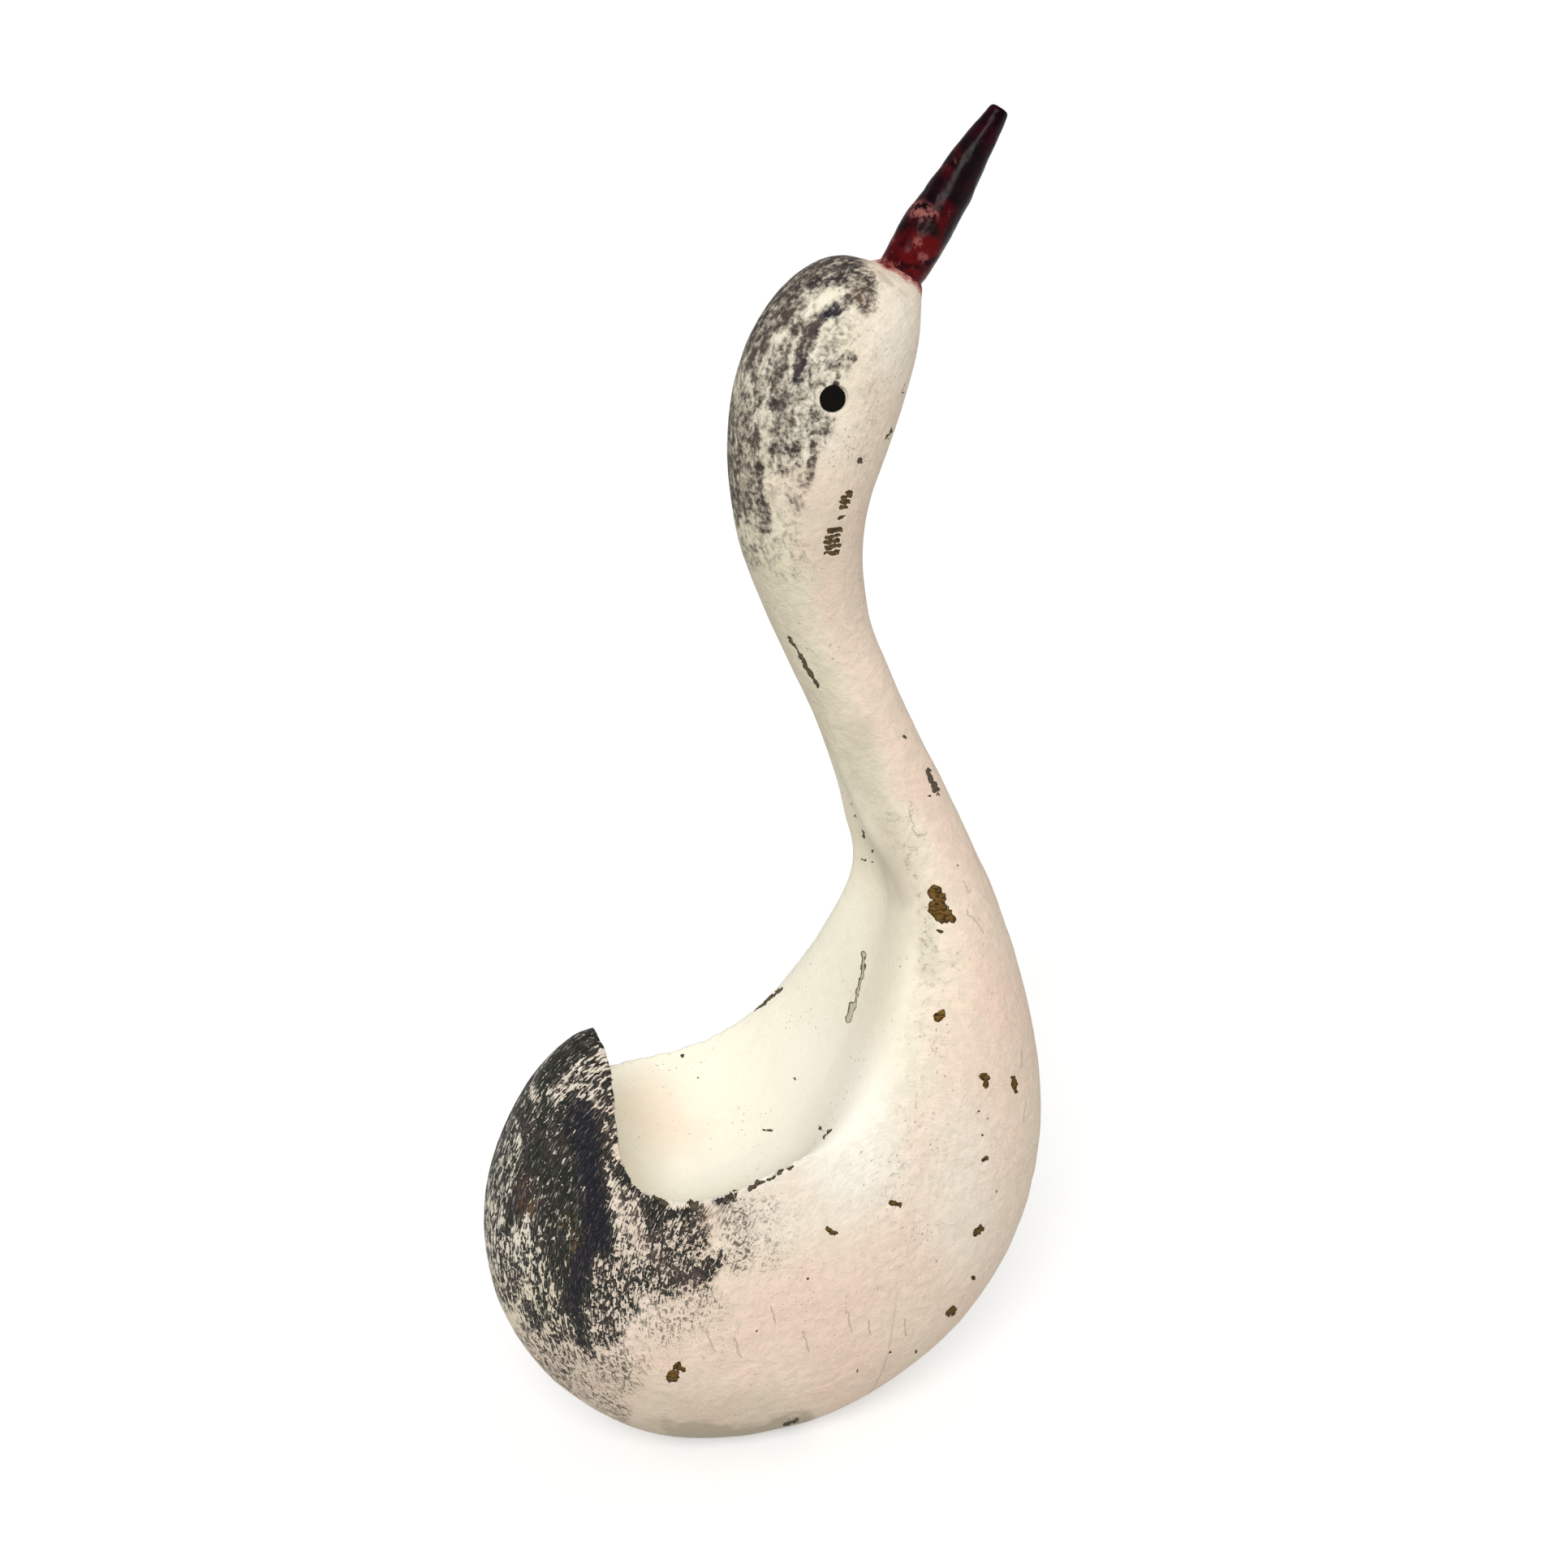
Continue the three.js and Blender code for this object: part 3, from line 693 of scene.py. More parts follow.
def eased_rim(mesh, rim):
    """Moves parts of the rim a little, to where the carver cut it, and returns the new rim."""
    points = points_of(mesh)
    moved = np.array(rim)
    for (across, down), shift, reach, both in RIM_MOVES:
        u, v = photo_pixels(moved, False)
        centre = moved[int(np.argmin(np.hypot(u - across, v - down)))]
        points = points + rim_shift(points, centre, shift, reach, both)
        moved = moved + rim_shift(moved, centre, shift, reach, both)
    set_points(mesh, points)
    return [Vector(p) for p in moved]


def eased_fold(mesh):
    """Moves the soft fold between scoop and breast a little forward."""
    points = points_of(mesh)
    u, v = photo_pixels(points, True)
    share = np.exp(-((u - FOLD_PLACE[0]) / FOLD_WIDTH[0]) ** 2)
    share *= np.exp(-((v - FOLD_PLACE[1]) / FOLD_WIDTH[1]) ** 2)
    share *= ramp(-3 * MM, -8 * MM, points[:, 1])
    step = share * FOLD_SHIFT * PHOTO_PIXEL
    set_points(mesh, points + np.outer(step, np.array(view_right)))


def rounded_over(mesh):
    """Rounds the near edge of the scoop over where it runs up to the neck."""
    for line, widest, narrowest, rounds in ROUNDINGS:
        points = points_of(mesh)
        u, v = photo_pixels(points, False)
        share = ramp(widest, narrowest, line_distance(u, v, line))
        share *= ramp(-2 * MM, -7 * MM, points[:, 1])
        relaxed(mesh, (0.5,) * rounds, share)


def small_places(mesh, rim):
    """1 where small marks, splinters, an eye or the beak's root need finer faces, else 0."""
    points = points_of(mesh)
    fields = wear_fields(mesh, rim)
    chosen = (fields["chip"] < 0.5) | (fields["peeled"] < 0.4) | (fields["crack"] < 0.5)
    splinters = line_distance(fields["u"], fields["v"], SPLINTERED_RIM) < 26
    chosen |= splinters & (np.abs(fields["rim"]) < 1.8)
    for name in EYES:
        middle, radius, length, side = eye_place(name)
        out = np.hypot(points[:, 0] - middle.x, points[:, 2] - middle.z)
        chosen |= (out < EYE_ZONE) & (points[:, 1] * side > 0)
    level, out = place_on(points, beak_root, beak_axis)
    chosen |= (np.abs(level) < ROOT_ZONE[0]) & (out < ROOT_ZONE[1])
    return chosen.astype(float)


def refine(mesh, chosen, rounds):
    """Splits the faces round chosen vertices, to hold small marks."""
    store(mesh, "chosen", chosen)
    bm = bmesh.new()
    bm.from_mesh(mesh)
    layer = bm.verts.layers.float["chosen"]
    for _ in range(rounds):
        edges = [e for e in bm.edges if max(vert[layer] for vert in e.verts) > 0.5]
        bmesh.ops.subdivide_edges(bm, edges=edges, cuts=1, use_grid_fill=True)
    bmesh.ops.triangulate(bm, faces=[f for f in bm.faces if len(f.verts) > 4])
    bm.verts.layers.float.remove(bm.verts.layers.float["chosen"])
    bm.to_mesh(mesh)
    bm.free()


def lip(mesh):
    """Raises the paint that was puddled round the root of the beak."""
    points = points_of(mesh)
    along, out = place_on(points, beak_root, beak_axis)
    slope = np.clip((5.4 * MM - out) / (1.5 * MM), 0, 1) ** 1.5
    slope *= ramp(2.5 * MM, 0.6 * MM, np.abs(along)) * (out > BEAK_BORE_RADIUS)
    raised = (0.85 + 0.25 * waves(points, 2.2 * MM, 41)) * MM * slope
    set_points(mesh, points + np.outer(raised, np.array(beak_axis)))


def relief(points, fields, splinter):
    """How far each point stands out or in, by lumps, pits, chips and the worn rim."""
    rough = (1 - fields["inside"]) * ramp(150 * MM, 115 * MM, points[:, 2])
    lift = 0.20 * MM * waves(points, 15 * MM, 1)
    lift += (0.04 + 0.03 * rough) * MM * waves(points, 5.0 * MM, 2)
    lumpy = 0.012 + 0.024 * rough + 0.05 * fields["pitted"]
    lift += lumpy * MM * waves(points, 1.7 * MM, 3)
    pits = ramp(0.10, 0.50, waves(points, 1.5 * MM, 4))
    lift -= 0.34 * MM * fields["pitted"] * pits
    lift -= 0.24 * MM * ramp(0.05, -0.12, fields["chip"])
    lift -= 0.10 * MM * ramp(0.05, -0.10, fields["peeled"])
    near_rim = ramp(1.3, 0.1, np.abs(fields["rim"]))
    lift += splinter * near_rim * MM * (0.35 * waves(points, 1.2 * MM, 6) - 0.10)
    lift += near_rim * 0.10 * MM * waves(points, 2.5 * MM, 7) * ramp(1010, 960, fields["u"])
    return lift


def sliver_rise(points, fields, splinter):
    """How far each point of the near rim is drawn up into a sliver."""
    rise = np.zeros(len(points))
    for across, half_width, height in SLIVERS:
        shape = np.clip(1 - np.abs((fields["u"] - across) / half_width), 0, 1) ** 0.7
        rise = np.maximum(rise, height * MM * shape)
    rise *= np.clip(0.8 + 0.6 * waves(points, 0.55 * MM, 8), 0.15, 1.25)
    near_side = ramp(0, -4 * MM, points[:, 1])
    reach = np.where(fields["rim"] > 0, 0.5, 1.1)
    return rise * splinter * near_side * ramp(1.0, 0.2, np.abs(fields["rim"]) / reach)


def shaped(mesh, rim):
    """Gives the smooth carving its relief, and stores the marks of wear on it."""
    points = points_of(mesh)
    normals = normals_of(mesh)
    fields = wear_fields(mesh, rim)
    splinter = ramp(40, 16, line_distance(fields["u"], fields["v"], SPLINTERED_RIM))
    points = points + normals * relief(points, fields, splinter)[:, None]
    rise = sliver_rise(points, fields, splinter)
    points[:, 2] += rise
    points[:, 0] -= 0.35 * rise
    points[:, 2] = np.maximum(points[:, 2], 0)
    set_points(mesh, points)
    fields["chip"] = np.minimum(fields["chip"], 0.3 - rise / MM)
    along, across, faded = stroke_coordinates(points)
    level, out = place_on(points, beak_root, beak_axis)
    fields.update({
        "along": along,
        "across": across,
        "plain": np.maximum(fields["inside"], faded),
        "smear": ramp(5.8 * MM, 4.0 * MM, out) * ramp(-3 * MM, -1 * MM, level),
    })
    for name, values in fields.items():
        if name not in ("u", "v"):
            store(mesh, name, values)


def eye_dimple(mesh, name):
    """Presses the head in round an eye, so that the peg's end lies bare."""
    points = points_of(mesh)
    middle, radius, length, side = eye_place(name)
    out = np.hypot(points[:, 0] - middle.x - 0.2 * MM, points[:, 2] - middle.z)
    wavy = out / radius + 0.05 * waves(points, 1.5 * MM, 31)
    lift_points(mesh, -0.7 * MM * ramp(1.02, 0.91, wavy) * (points[:, 1] * side > 0))


def keep_normals(mesh):
    """Stores the normals of the whole carving, so that its pieces can be shaded with them."""
    mesh.attributes.new("whole", "FLOAT_VECTOR", "POINT")
    facing = normals_of(mesh).astype(np.float32).ravel()
    mesh.attributes["whole"].data.foreach_set("vector", facing)


def cut_piece(mesh, name, above):
    """The part of the mesh on one side of the glued joint, closed with a flat face.

    The shading normals are those of the whole carving, so the joint doesn't show.
    """
    bm = bmesh.new()
    bm.from_mesh(mesh)
    cut = bmesh.ops.bisect_plane(
        bm, geom=bm.verts[:] + bm.edges[:] + bm.faces[:], dist=1e-7,
        plane_co=joint_middle, plane_no=joint_axis,
        clear_inner=above, clear_outer=not above,
    )
    cut_edges = [e for e in cut["geom_cut"] if isinstance(e, bmesh.types.BMEdge)]
    bmesh.ops.contextual_create(bm, geom=[e for e in cut_edges if e.is_boundary])
    bmesh.ops.triangulate(bm, faces=[f for f in bm.faces if len(f.verts) > 4])
    piece_mesh = mesh_from(bm, name)
    piece_mesh.shade_smooth()
    facing = vectors_of(piece_mesh.attributes["whole"].data, "vector").astype(np.float32)
    piece_mesh.normals_split_custom_set_from_vertices(facing)
    piece_mesh.attributes.remove(piece_mesh.attributes["whole"])
    return add_piece(piece_mesh, name)


# Node trees

class Wire:
    """The output of a node, to be added, subtracted and multiplied as numbers are."""

    def __init__(self, nodes, socket):
        self.nodes = nodes
        self.socket = socket

    def __add__(self, other):
        return self.nodes.math("ADD", self, other)

    def __sub__(self, other):
        return self.nodes.math("SUBTRACT", self, other)

    def __rsub__(self, other):
        return self.nodes.math("SUBTRACT", other, self)

    def __mul__(self, other):
        return self.nodes.math("MULTIPLY", self, other)


class Nodes:
    """Short ways to add and join the nodes of one tree."""

    def __init__(self, tree):
        self.tree = tree

    def put(self, socket, value):
        """Joins a wire to a socket, or sets the socket to a number, vector or colour."""
        if isinstance(value, Wire):
            self.tree.links.new(value.socket, socket)
        elif isinstance(value, tuple) and socket.type == "RGBA":
            socket.default_value = (*value, 1)
        else:
            socket.default_value = value

    def add(self, kind, inputs=(), output=0, **settings):
        """The output of a new node that has these settings and values for its inputs."""
        node = self.tree.nodes.new(kind)
        for key, value in settings.items():
            setattr(node, key, value)
        for key, value in dict(inputs).items():
            self.put(node.inputs[key], value)
        return Wire(self, node.outputs[output])

    def value(self, name):
        return self.add("ShaderNodeAttribute", output="Fac", attribute_name=name)

    def place(self):
        return self.add("ShaderNodeTexCoord", output="Object")

    def math(self, operation, *values):
        return self.add("ShaderNodeMath", enumerate(values), operation=operation)

    def larger(self, a, b):
        return self.math("MAXIMUM", a, b)

    def step(self, low, high, value):
        """0 below low, 1 above high and a smooth rise between, like ramp."""
        inputs = {"Value": value, "From Min": low, "From Max": high}
        return self.add("ShaderNodeMapRange", inputs, interpolation_type="SMOOTHSTEP")

    def mix(self, share, a, b):
        return self.add("ShaderNodeMix", {0: share, 6: a, 7: b}, 2, data_type="RGBA")

    def join(self, *values):
        return self.add("ShaderNodeCombineXYZ", enumerate(values))

    def stretch(self, vector, factors):
        return self.add("ShaderNodeVectorMath", {0: vector, 1: factors}, operation="MULTIPLY")

    def noise(self, vector, scale, detail, roughness=0.5, distortion=0.0):
        return self.add("ShaderNodeTexNoise", {
            "Vector": vector, "Scale": scale, "Detail": detail,
            "Roughness": roughness, "Distortion": distortion,
        })

    def bump(self, height, distance, strength):
        inputs = {"Height": height, "Distance": distance, "Strength": strength}
        return self.add("ShaderNodeBump", inputs)


class Material(Nodes):
    """The nodes of one material round its shader."""

    def __init__(self, name):
        self.material = bpy.data.materials.new(name)
        self.material.use_nodes = True
        super().__init__(self.material.node_tree)
        self.tree.nodes.clear()
        self.surface = self.tree.nodes.new("ShaderNodeOutputMaterial").inputs["Surface"]
        self.shader = self.tree.nodes.new("ShaderNodeBsdfPrincipled")
        self.tree.links.new(self.shader.outputs[0], self.surface)

    def finish(self, **looks):
        """Sets the shader's inputs and returns the material."""
        for key, value in looks.items():
            self.put(self.shader.inputs[key.replace("_", " ")], value)
        return self.material


PINK_CREAM = (0.90, 0.745, 0.60)
ROSE_CREAM = (0.90, 0.69, 0.56)
# Green cream: the paint's own green, and the green cast of painted shade in the valley by the neck
GREEN_CREAM_AND_SHADE = (0.86, 0.81, 0.62)
PALE_CREAM = (0.92, 0.885, 0.745)
# Whiter cream, for the tail's pale flecks and as painted light on the scoop and its near lip
WHITE_CREAM_AND_LIGHT = (0.94, 0.905, 0.80)
RIDGE_CREAM = (0.90, 0.825, 0.665)
GRIME = (0.30, 0.25, 0.17)
FAINT_GRIME = (0.58, 0.54, 0.41)
# Dark brown laid as painted shade in the valley by the neck and along the underside, and as grime by
# the beak's root
DIRT_AND_SHADE_BROWN = (0.50, 0.43, 0.325)
BLACK_GREEN = (0.014, 0.017, 0.012)
NAVY = (0.010, 0.009, 0.020)
PURPLE_BROWN = (0.30, 0.20, 0.165)
DARK_BROWN = (0.034, 0.024, 0.024)
SCRATCHED = (0.110, 0.100, 0.085)
SMUDGE = (0.100, 0.071, 0.058)
RUST = (0.17, 0.075, 0.018)
OCHRE = (0.22, 0.115, 0.025)
CHIP_BROWN = (0.12, 0.066, 0.016)
CHIP_DARK = (0.022, 0.014, 0.007)
CHIP_GREY = (0.13, 0.115, 0.08)
PEELED_GREY = (0.56, 0.53, 0.41)
BEAK_STAIN = (0.50, 0.22, 0.18)
BEAK_SMEAR = (0.16, 0.012, 0.014)
WOOD_GRAIN = (0.9 * PER_MM, 0.9 * PER_MM, 3.2 * PER_MM)


class Paint(Material):
    """The aged paint, with the marks of wear and the noises that its coats share.

    The black has soft edges where softness is high, and sharp relief where crisp is 1.
    """

    def __init__(self, name, softness, fineness, crisp):
        super().__init__(name)
        self.softness, self.fineness = softness, fineness
        self.crisp, self.soft = crisp, 1 - crisp
        self.along, self.across = self.value("along"), self.value("across")
        self.inside, self.dark = self.value("inside"), self.value("dark")
        self.navy = self.value("navy")
        self.spot = self.place()
        self.patch = self.noise(self.spot, 0.16 * PER_MM, 4.0, 0.65)
        self.lumps = self.noise(self.spot, 0.50 * PER_MM, 4.0, 0.6, 0.4)
        self.grain = self.noise(self.spot, 1.6 * PER_MM, 4.0, 0.65)
        self.ragged = self.noise(self.spot, 1.5 * PER_MM, 5.0, 0.75, 0.4)
        hairs = self.join(self.across, self.along * 0.10, 1.0)
        hairs = self.noise(hairs, 2.2, 3.0, 0.6, 0.2)
        self.brush = self.mix(self.value("plain"), hairs, (0.45, 0.45, 0.45))
        flecks = self.flow(1.65 + 0.45 * self.soft, 0.92 + 0.83 * self.soft, 3.0)
        self.fleck = self.noise(flecks, 1.0, 2.0 + self.soft, 0.58, 0.9 - 0.5 * self.soft)
        streaks = self.flow(4.3 + 1.7 * self.soft, 0.38, 0.0)
        self.streak = self.noise(streaks, 1.0, 2.0, 0.5, 0.2)

    def flow(self, per_across, per_along, seed, slant=0.0):
        """A place for a noise that is drawn out along the brush strokes."""
        wide = (self.along * slant + self.across) * (per_across * self.fineness)
        return self.join(wide, self.along * (per_along * self.fineness), seed)


def cream_coat(n):
    """Colour of the cream paint with its tints, mottling and grime, with painted light on the scoop
    and its near lip and painted shade by the neck and along the underside.
    """
    pink, white = n.value("pink"), n.value("white")
    cloud = n.noise(n.spot, 0.05 * PER_MM, 3.0, 0.55)
    cream = n.mix(pink * 0.55 + n.step(0.42, 0.68, cloud), PINK_CREAM, ROSE_CREAM)
    # Greener at random over the paint, and as painted shade on the back of the neck and in the valley
    # beside it.
    greenness = n.step(0.50, 0.72, n.patch) * 0.35 + n.value("green") - pink * 0.4
    cream = n.mix(greenness, cream, GREEN_CREAM_AND_SHADE)
    cream = n.mix(n.inside - pink * 0.9, cream, PALE_CREAM)
    cream = n.mix(n.value("ridge") * 0.85, cream, RIDGE_CREAM)
    # Painted light: whiter on the scoop and its near lip, where light falls full on them, as well as
    # on the paint's paler flecks.
    cream = n.mix(white, cream, WHITE_CREAM_AND_LIGHT)
    cream = n.mix(n.step(0.35, 0.75, n.brush) * 0.13, cream, FAINT_GRIME)
    mottled = n.step(0.62, 0.40, n.lumps) * (0.27 - n.inside * 0.20 - white * 0.12)
    cream = n.mix(mottled, cream, FAINT_GRIME)
    # Painted shade: darker brown in the valley by the neck, on the neck and along the lower edge of
    # the underside; by the beak's root it is grime.
    return n.mix(n.value("dirt_and_shade") * (n.patch * 0.8 + 0.42), cream, DIRT_AND_SHADE_BROWN)


def pits(n):
    """How deep the fine pits are, from 0 to 1."""
    return n.step(0.45, 0.30, n.noise(n.spot, 0.85 * PER_MM, 3.0, 0.6, 0.3)) * n.value("pitted")


def specks(n):
    """1 in the scattered small specks of grime, else 0."""
    where = n.step(0.44, 0.66, n.noise(n.spot, 0.10 * PER_MM, 2.0))
    return n.step(0.665, 0.705, n.noise(n.spot, 1.5 * PER_MM, 2.0)) * where


def black_pattern(n):
    """The uneven pattern that the dry brush left, about 0.5 on average."""
    blots = n.flow(0.75 + 0.25 * n.soft, 0.40 + 0.20 * n.soft, 5.0)
    blot = n.noise(blots, 1.0, 3.0, 0.6, 0.6)
    pattern = n.patch * 0.05 + n.fleck * (0.50 - 0.16 * n.soft)
    return pattern + n.streak * (0.30 - 0.18 * n.soft) + blot * (0.15 + 0.34 * n.soft)


def black_cover(n, pattern):
    """How far the dry-brushed black covers each spot, from 0 to 1."""
    steepness = 0.205 + 0.055 * n.soft
    level = 0.5 + 0.5 * steepness - n.dark * steepness
    above = pattern - (level - n.step(0.1, 1.1, n.navy) * (0.07 * n.crisp))
    hair = n.noise(n.flow(9.0, 0.5, 7.0), 1.0, 2.0, 0.5, 0.2)
    thin = n.step(-0.050, 0.0, above) * (0.24 * n.crisp)
    lines = n.step(0.56, 0.64, hair) * n.step(-0.10, -0.02, above)
    cover = n.larger(n.step(-n.softness, n.softness, above), thin)
    cover = n.larger(cover, lines * (0.6 * n.crisp))
    nicked = n.step(0.60, 0.68, hair) * (0.7 * n.crisp) * n.step(1.2, 0.3, n.navy)
    return cover * (1.0 - nicked) * n.step(0.0, 0.26, n.dark)


def outside_scoop(n):
    """1 outside the scoop and 0 in it, with a ragged edge along the rim."""
    rim = n.value("rim")
    by_rim = n.step(0.35, 0.10, rim + (n.fleck * 1.4 - 0.7))
    far_from_rim = n.step(1.8, 2.4, n.math("ABSOLUTE", rim))
    return far_from_rim * (n.step(0.5, 0.3, n.inside) - by_rim) + by_rim


def black_ink(n):
    """Colour of the black: greenish, brown or navy, scratched, smudged or rusty."""
    ink = n.mix(n.step(0.45, 0.62, n.patch), BLACK_GREEN, DARK_BROWN)
    not_navy = n.step(0.9, 0.3, n.navy)
    ink = n.mix(0.8 - not_navy * 0.8, ink, NAVY)
    ink = n.mix(n.step(0.54, 0.64, n.streak) * (not_navy * 0.4), ink, SCRATCHED)
    scratch = n.noise(n.flow(9.0, 0.35, 9.0, 0.55), 1.0, 1.0, 0.5, 0.1)
    diagonal = n.step(0.62, 0.72, scratch) * (0.45 * n.crisp)
    ink = n.mix(diagonal * n.step(0.3, 0.8, n.navy), ink, SCRATCHED)
    ink = n.mix(n.step(0.56, 0.66, n.grain) * 0.25, ink, SCRATCHED)
    ink = n.mix(n.value("rust") * n.step(0.50, 0.62, n.fleck), ink, RUST)
    return n.mix(n.step(0.62, 0.42, n.patch) * (0.75 * n.soft), ink, SMUDGE)


def beak_smears(n, painted):
    """Adds the red that was smeared on the head round the beak."""
    smear = n.value("smear")
    stain = (n.lumps - 0.5) * 2.2 + smear
    near_beak = n.step(0.0, 0.25, smear)
    painted = n.mix(n.step(0.15, 0.75, stain) * near_beak, painted, BEAK_STAIN)
    return n.mix(n.step(0.75, 1.15, stain) * near_beak, painted, BEAK_SMEAR)


def chipped_wood(n, chip, fibre):
    """Colour of the wood that the chips lay bare, darker along their edges."""
    wood = n.mix(n.step(0.44, 0.60, fibre), CHIP_BROWN, OCHRE)
    wood = n.mix(n.step(0.46, 0.37, fibre), wood, CHIP_DARK)
    wood = n.mix(n.step(0.45, 0.36, n.ragged), wood, CHIP_DARK)
    wood = n.mix(n.value("tone") * 0.8, wood, CHIP_GREY)
    return n.mix(n.step(-0.16, -0.04, chip) * (0.45 + 0.40 * n.crisp), wood, CHIP_DARK)


def paint(name, softness, fineness, crisp):
    """Aged cream paint, dry-brushed black, with chips down to the wood."""
    n = Paint(name, softness, fineness, crisp)
    pit = pits(n)
    pattern = black_pattern(n)
    outside = outside_scoop(n)
    cover = black_cover(n, pattern) * outside
    cream = n.mix(pit * 0.40, cream_coat(n), GRIME)
    cream = n.mix(specks(n) * 0.75, cream, GRIME)
    cream = n.mix(n.step(0.15, 0.8, n.dark) * (outside * 0.16), cream, GRIME)
    strength = n.step(0.15, 0.50, n.dark) * 0.42 + 0.58
    painted = n.mix(cover * strength, cream, black_ink(n))
    bare = n.value("bare") * n.step(0.43, 0.53, n.streak) * outside
    painted = beak_smears(n, n.mix(bare * 0.75, painted, PURPLE_BROWN))
    cracked = n.step(0.15, 0.06, n.grain * 0.08 + (n.value("crack") - 0.04))
    painted = n.mix(cracked * 0.22, painted, GRIME)

    chip = (n.ragged - 0.5) * 0.75 + n.value("chip")
    chipped = n.step(0.02, -0.02, chip)
    fibre = n.noise(n.stretch(n.spot, WOOD_GRAIN), 1.0, 3.0, 0.6, 0.8)
    colour = n.mix(chipped, painted, chipped_wood(n, chip, fibre))
    peel = (n.ragged - 0.5) * 0.25 + n.value("peeled")
    under = n.mix(n.step(-0.24, -0.15, peel), PEELED_GREY, CHIP_GREY)
    colour = n.mix(n.step(0.02, -0.02, peel), colour, under)

    height = n.lumps * ((1.0 - n.inside * 0.65) * 0.72) + n.grain * 0.22 + n.brush * 0.30
    height = height + pattern * (n.dark * (0.6 + 2.6 * crisp)) - cover * (0.10 + 0.25 * crisp)
    height = height - pit * 0.45 - cracked * 0.3 + fibre * (chipped * 0.8) - chipped * 0.9
    return n.finish(
        Base_Color=colour,
        Roughness=n.lumps * 0.25 + 0.48 + chipped * 0.3,
        Specular_IOR_Level=0.16,
        Normal=n.bump(height, 0.44 * MM, 1.0),
    )


def lacquer():
    """Oxblood lacquer over black, worn through to red and pink near the root."""
    n = Material("beak_lacquer")
    blotch = n.noise(n.place(), 0.30 * PER_MM, 4.0, 0.6, 0.5)
    fine = n.noise(n.place(), 1.1 * PER_MM, 4.0, 0.65)
    red = n.value("red")
    worn = n.value("worn") * n.step(0.42, 0.58, fine)
    colour = n.mix(n.step(0.40, 0.65, blotch), (0.005, 0.000, 0.002), (0.024, 0.001, 0.005))
    colour = n.mix(red * n.step(0.36, 0.56, blotch), colour, (0.100, 0.002, 0.003))
    colour = n.mix(red * n.step(0.60, 0.70, fine), colour, (0.24, 0.030, 0.028))
    colour = n.mix(worn, colour, (0.30, 0.095, 0.085))
    colour = n.mix(n.value("black") * 0.9, colour, (0.004, 0.003, 0.003))
    return n.finish(
        Base_Color=colour,
        Roughness=fine * 0.14 + 0.21,
        Specular_IOR_Level=0.07,
        Normal=n.bump(fine * 0.5 + blotch - worn * 0.6, 0.14 * MM, 0.7),
    )


def eye_black():
    """Matt black paint with a faint grain."""
    n = Material("eye_black")
    grain = n.noise(n.place(), 1.2 * PER_MM, 3.0, 0.6)
    return n.finish(
        Base_Color=n.mix(grain, (0.002, 0.002, 0.002), (0.009, 0.008, 0.007)),
        Roughness=grain * 0.15 + 0.75,
        Specular_IOR_Level=0.05,
        Normal=n.bump(grain, 0.08 * MM, 0.5),
    )


def bare_wood():
    """Plain wood with its grain along the pin."""
    n = Material("bare_wood")
    grain = n.noise(n.place(), 0.5 * PER_MM, 4.0, 0.6, 1.5)
    return n.finish(
        Base_Color=n.mix(grain, (0.30, 0.17, 0.075), (0.45, 0.29, 0.15)),
        Roughness=grain * 0.2 + 0.65,
        Normal=n.bump(grain, 0.1 * MM, 0.6),
    )


# Pieces

def beak_piece():
    """The whittled peg: the turned blank with flats, lumps and a rounded tip."""
    bm = welded("beak")
    join_flat(bm, 30, 60)

    def share(edge):
        return 0.0 if (edge.verts[0].co - beak_root).dot(beak_axis) > 4 * MM else 0.8

    crease(bm, 40, 70, share)
    mesh = modified(mesh_from(bm, "beak_blank"), "SUBSURF", levels=3)
    points = points_of(mesh)
    u, v = photo_pixels(points, True)
    shown = ramp(0, 1.5 * MM, place_on(points, beak_root, beak_axis)[0])
    lift = shown * 0.16 * MM * waves(points * [1, 1, 0.45], 2.8 * MM, 11)
    lift += shown * 0.035 * MM * waves(points, 0.8 * MM, 12)
    lift += 0.06 * MM * ramp(13, 3, line_distance(u, v, BEAK_BUMP))
    lift -= 0.18 * MM * ramp(12, 3, line_distance(u, v, BEAK_NICK))
    lift_points(mesh, lift)
    u += 3 * waves(points, 2.0 * MM, 13)
    v += 4 * waves(points, 2.4 * MM, 14)
    for name, marks in (("red", BEAK_RED), ("worn", BEAK_WORN), ("black", BEAK_BLACK)):
        store(mesh, name, strokes(u, v, marks))
    mesh.shade_smooth()
    mesh.set_sharp_from_angle(angle=math.radians(60))
    return add_piece(mesh, "lacquered_beak")


def eye_piece(name):
    """A black peg with a slightly uneven, domed end."""
    mesh = modified(mesh_from(welded(name), name + "_blank"), "SUBSURF", levels=2)
    lift_points(mesh, 0.08 * MM * waves(points_of(mesh), 1.6 * MM, 21))
    mesh.shade_smooth()
    return add_piece(mesh, name.replace("eye", "eye_peg"))


def carved_pieces():
    """The painted body and the painted neck and head, cut from one fine mesh."""
    rim = rim_points()
    smooth = modified(carving_mesh(), "SUBSURF", levels=2)
    carved = modified(smooth, "REMESH", mode="VOXEL", voxel_size=VOXEL)
    relaxed(carved, (0.5, -0.52) * SMOOTHING)
    eased_fold(carved)
    rim = eased_rim(carved, rim)
    rounded_over(carved)
    refine(carved, small_places(carved, rim), 2)
    lip(carved)
    shaped(carved, rim)
    for name in EYES:
        eye_dimple(carved, name)
    keep_normals(carved)
    body = cut_piece(carved, "painted_body", above=False)
    return body, cut_piece(carved, "painted_neck_and_head", above=True)


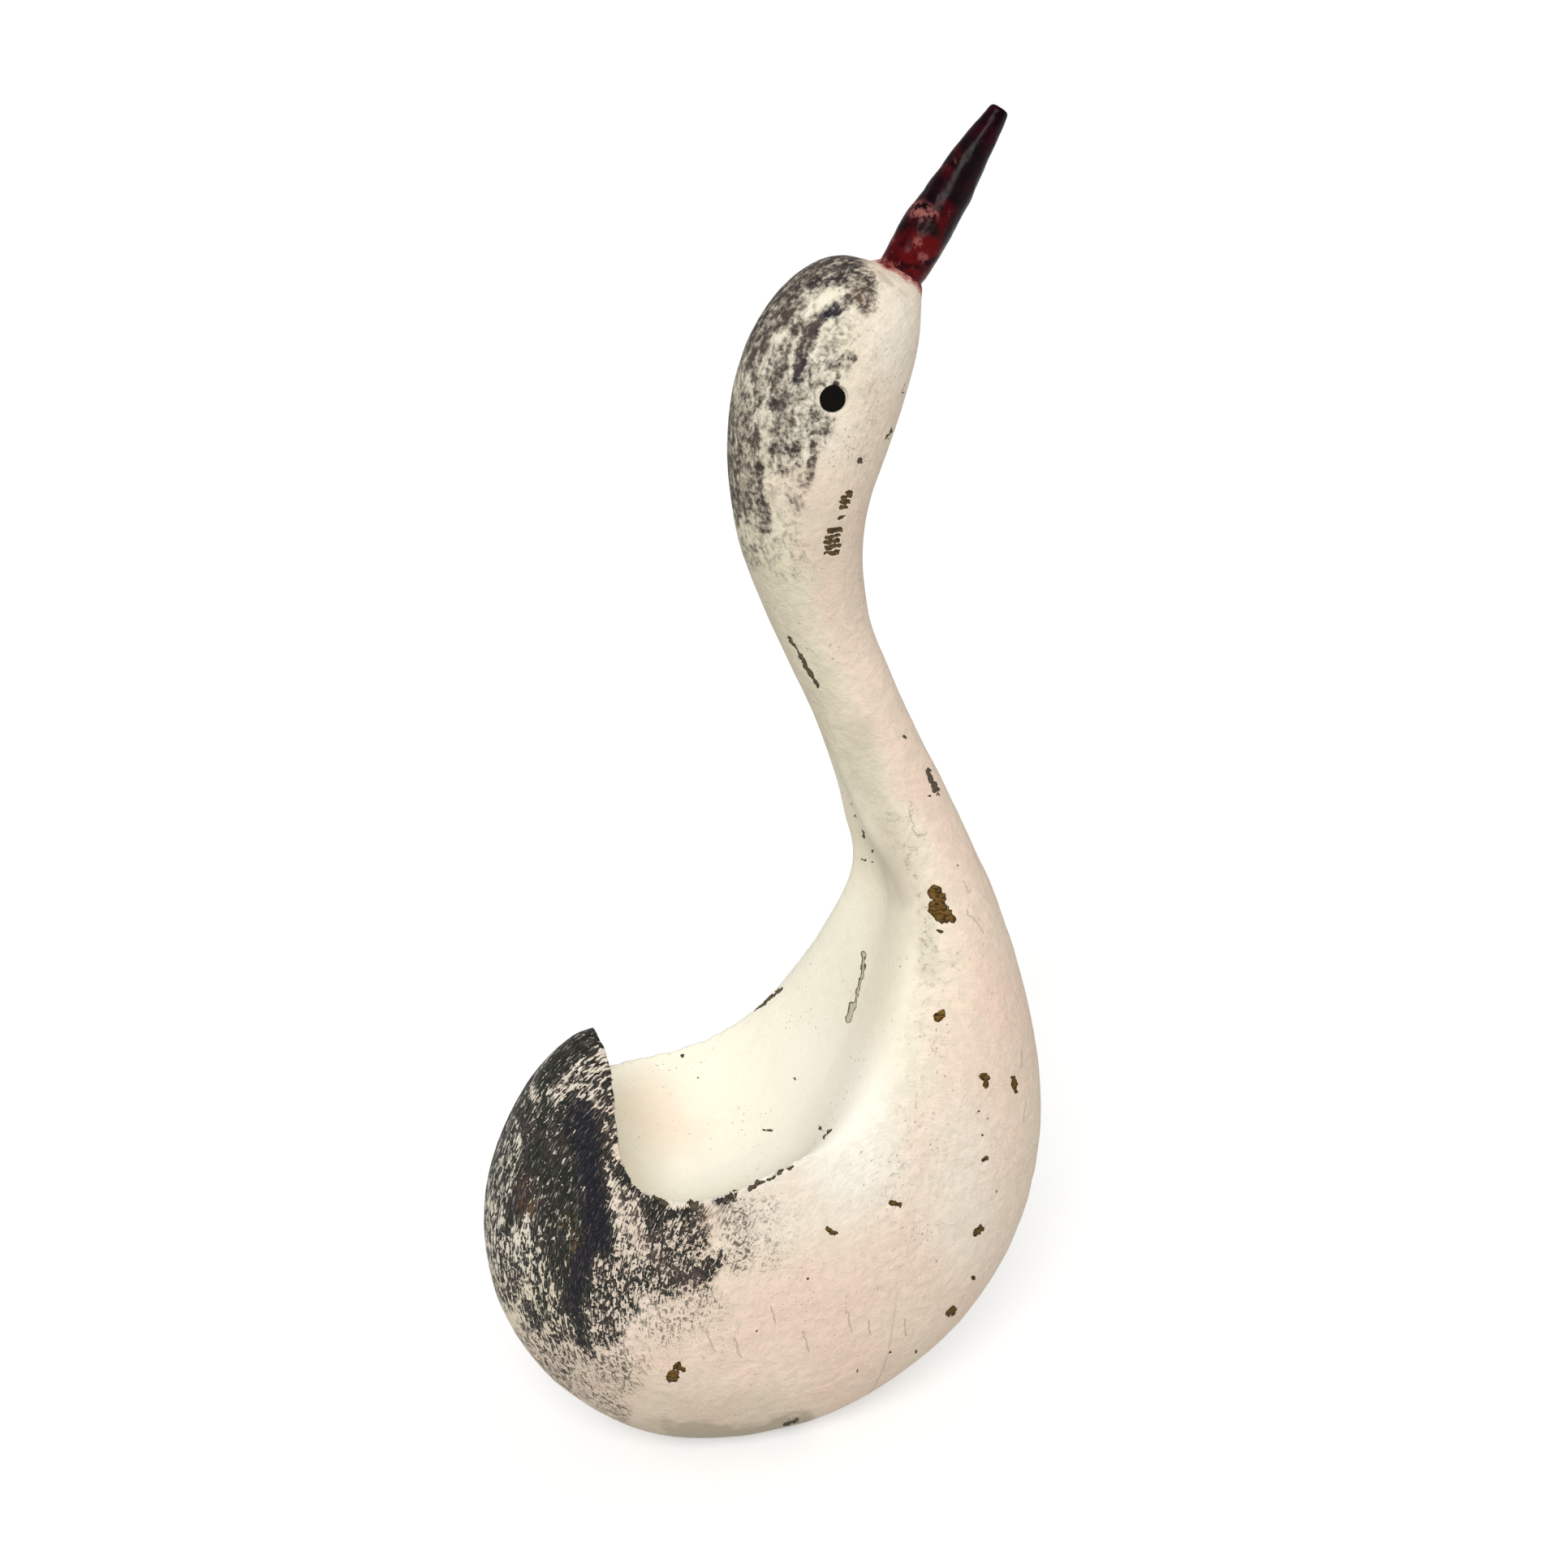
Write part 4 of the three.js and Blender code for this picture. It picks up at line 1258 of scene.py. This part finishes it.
def dress(piece, node, material):
    """Gives a piece its material and puts it in the place of a node."""
    piece.data.materials.clear()
    piece.data.materials.append(material)
    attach(piece, "root")
    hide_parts(node)


body, neck_and_head = carved_pieces()
dress(body, "body", paint("body_paint", 0.010, 1.0, 1.0))
dress(neck_and_head, "neck_and_head", paint("head_paint", 0.120, 0.72, 0.0))
dress(beak_piece(), "beak", lacquer())
black = eye_black()
for eye_name in EYES:
    dress(eye_piece(eye_name), eye_name, black)

dowel_mesh = cad["neck_dowel"].data
dowel_mesh.materials.clear()
dowel_mesh.materials.append(bare_wood())

# Floor, light and camera

FLOOR_REACH = 12.0
FLOOR_DROP = 0.05 * MM
FLOOR_SHADE = (0.62, 0.62, 0.61)
FLOOR_GLOW = 0.48
SKY_COLOUR = (1.0, 0.99, 0.975)
SKY_LIGHT = 0.50
KEY_LIGHT = 0.65
KEY_ANGLE = 26
KEY_FROM = Vector((-0.38, -0.78, 0.76))
CAMERA_REACH = 100.0


def floor_paint():
    """A pale paint that takes the shadow; the camera sees it lit up to white."""
    n = Material("floor")
    plain = Wire(n, n.shader.outputs[0])
    camera, glossy, through = (
        n.add("ShaderNodeLightPath", output=ray)
        for ray in ("Is Camera Ray", "Is Glossy Ray", "Is Transmission Ray")
    )
    seen = n.larger(n.larger(camera, glossy), through)
    glow = n.add("ShaderNodeEmission", {"Strength": FLOOR_GLOW})
    lit = n.add("ShaderNodeAddShader", {0: plain, 1: glow})
    n.put(n.surface, n.add("ShaderNodeMixShader", {0: seen, 1: plain, 2: lit}))
    return n.finish(Base_Color=FLOOR_SHADE, Roughness=0.9)


def make_floor():
    """A wide flat floor just under the swan."""
    mesh = bpy.data.meshes.new("floor")
    signs = ((-1, -1), (1, -1), (1, 1), (-1, 1))
    corners = [(x * FLOOR_REACH, y * FLOOR_REACH, 0) for x, y in signs]
    mesh.from_pydata(corners, [], [(0, 1, 2, 3)])
    mesh.materials.append(floor_paint())
    floor = add_piece(mesh, "floor")
    floor.location.z = -FLOOR_DROP


def make_sky():
    """An even sky that lights softly and is pale to the camera."""
    world = bpy.data.worlds.new("studio")
    bpy.context.scene.world = world
    world.use_nodes = True
    n = Nodes(world.node_tree)
    sky = n.tree.nodes["Background"]
    n.put(sky.inputs["Color"], SKY_COLOUR)
    n.put(sky.inputs["Strength"], SKY_LIGHT)
    backdrop = n.add("ShaderNodeBackground", {"Strength": 1.0})
    seen = n.add("ShaderNodeLightPath", output="Is Camera Ray")
    pick = n.add("ShaderNodeMixShader", {0: seen, 1: Wire(n, sky.outputs[0]), 2: backdrop})
    n.put(n.tree.nodes["World Output"].inputs["Surface"], pick)


def make_key():
    """One soft sun, from the left of the photograph, in front and above."""
    data = bpy.data.lights.new("key", "SUN")
    data.angle = math.radians(KEY_ANGLE)
    data.energy = KEY_LIGHT * math.pi
    key = add_piece(data, "key")
    key.rotation_euler = KEY_FROM.to_track_quat("Z", "Y").to_euler()


def make_camera():
    """The camera of the photograph."""
    data = bpy.data.cameras.new("camera")
    data.sensor_width = SENSOR
    data.lens = SENSOR * FOCAL / PHOTO_SIDE
    data.clip_end = CAMERA_REACH
    camera = add_piece(data, "camera")
    turned = Matrix((view_right, view_up, view_back)).transposed().to_4x4()
    camera.matrix_world = Matrix.Translation(view_place) @ turned
    bpy.context.scene.camera = camera


make_floor()
make_sky()
make_key()
make_camera()
bpy.context.scene.view_settings.view_transform = "Standard"
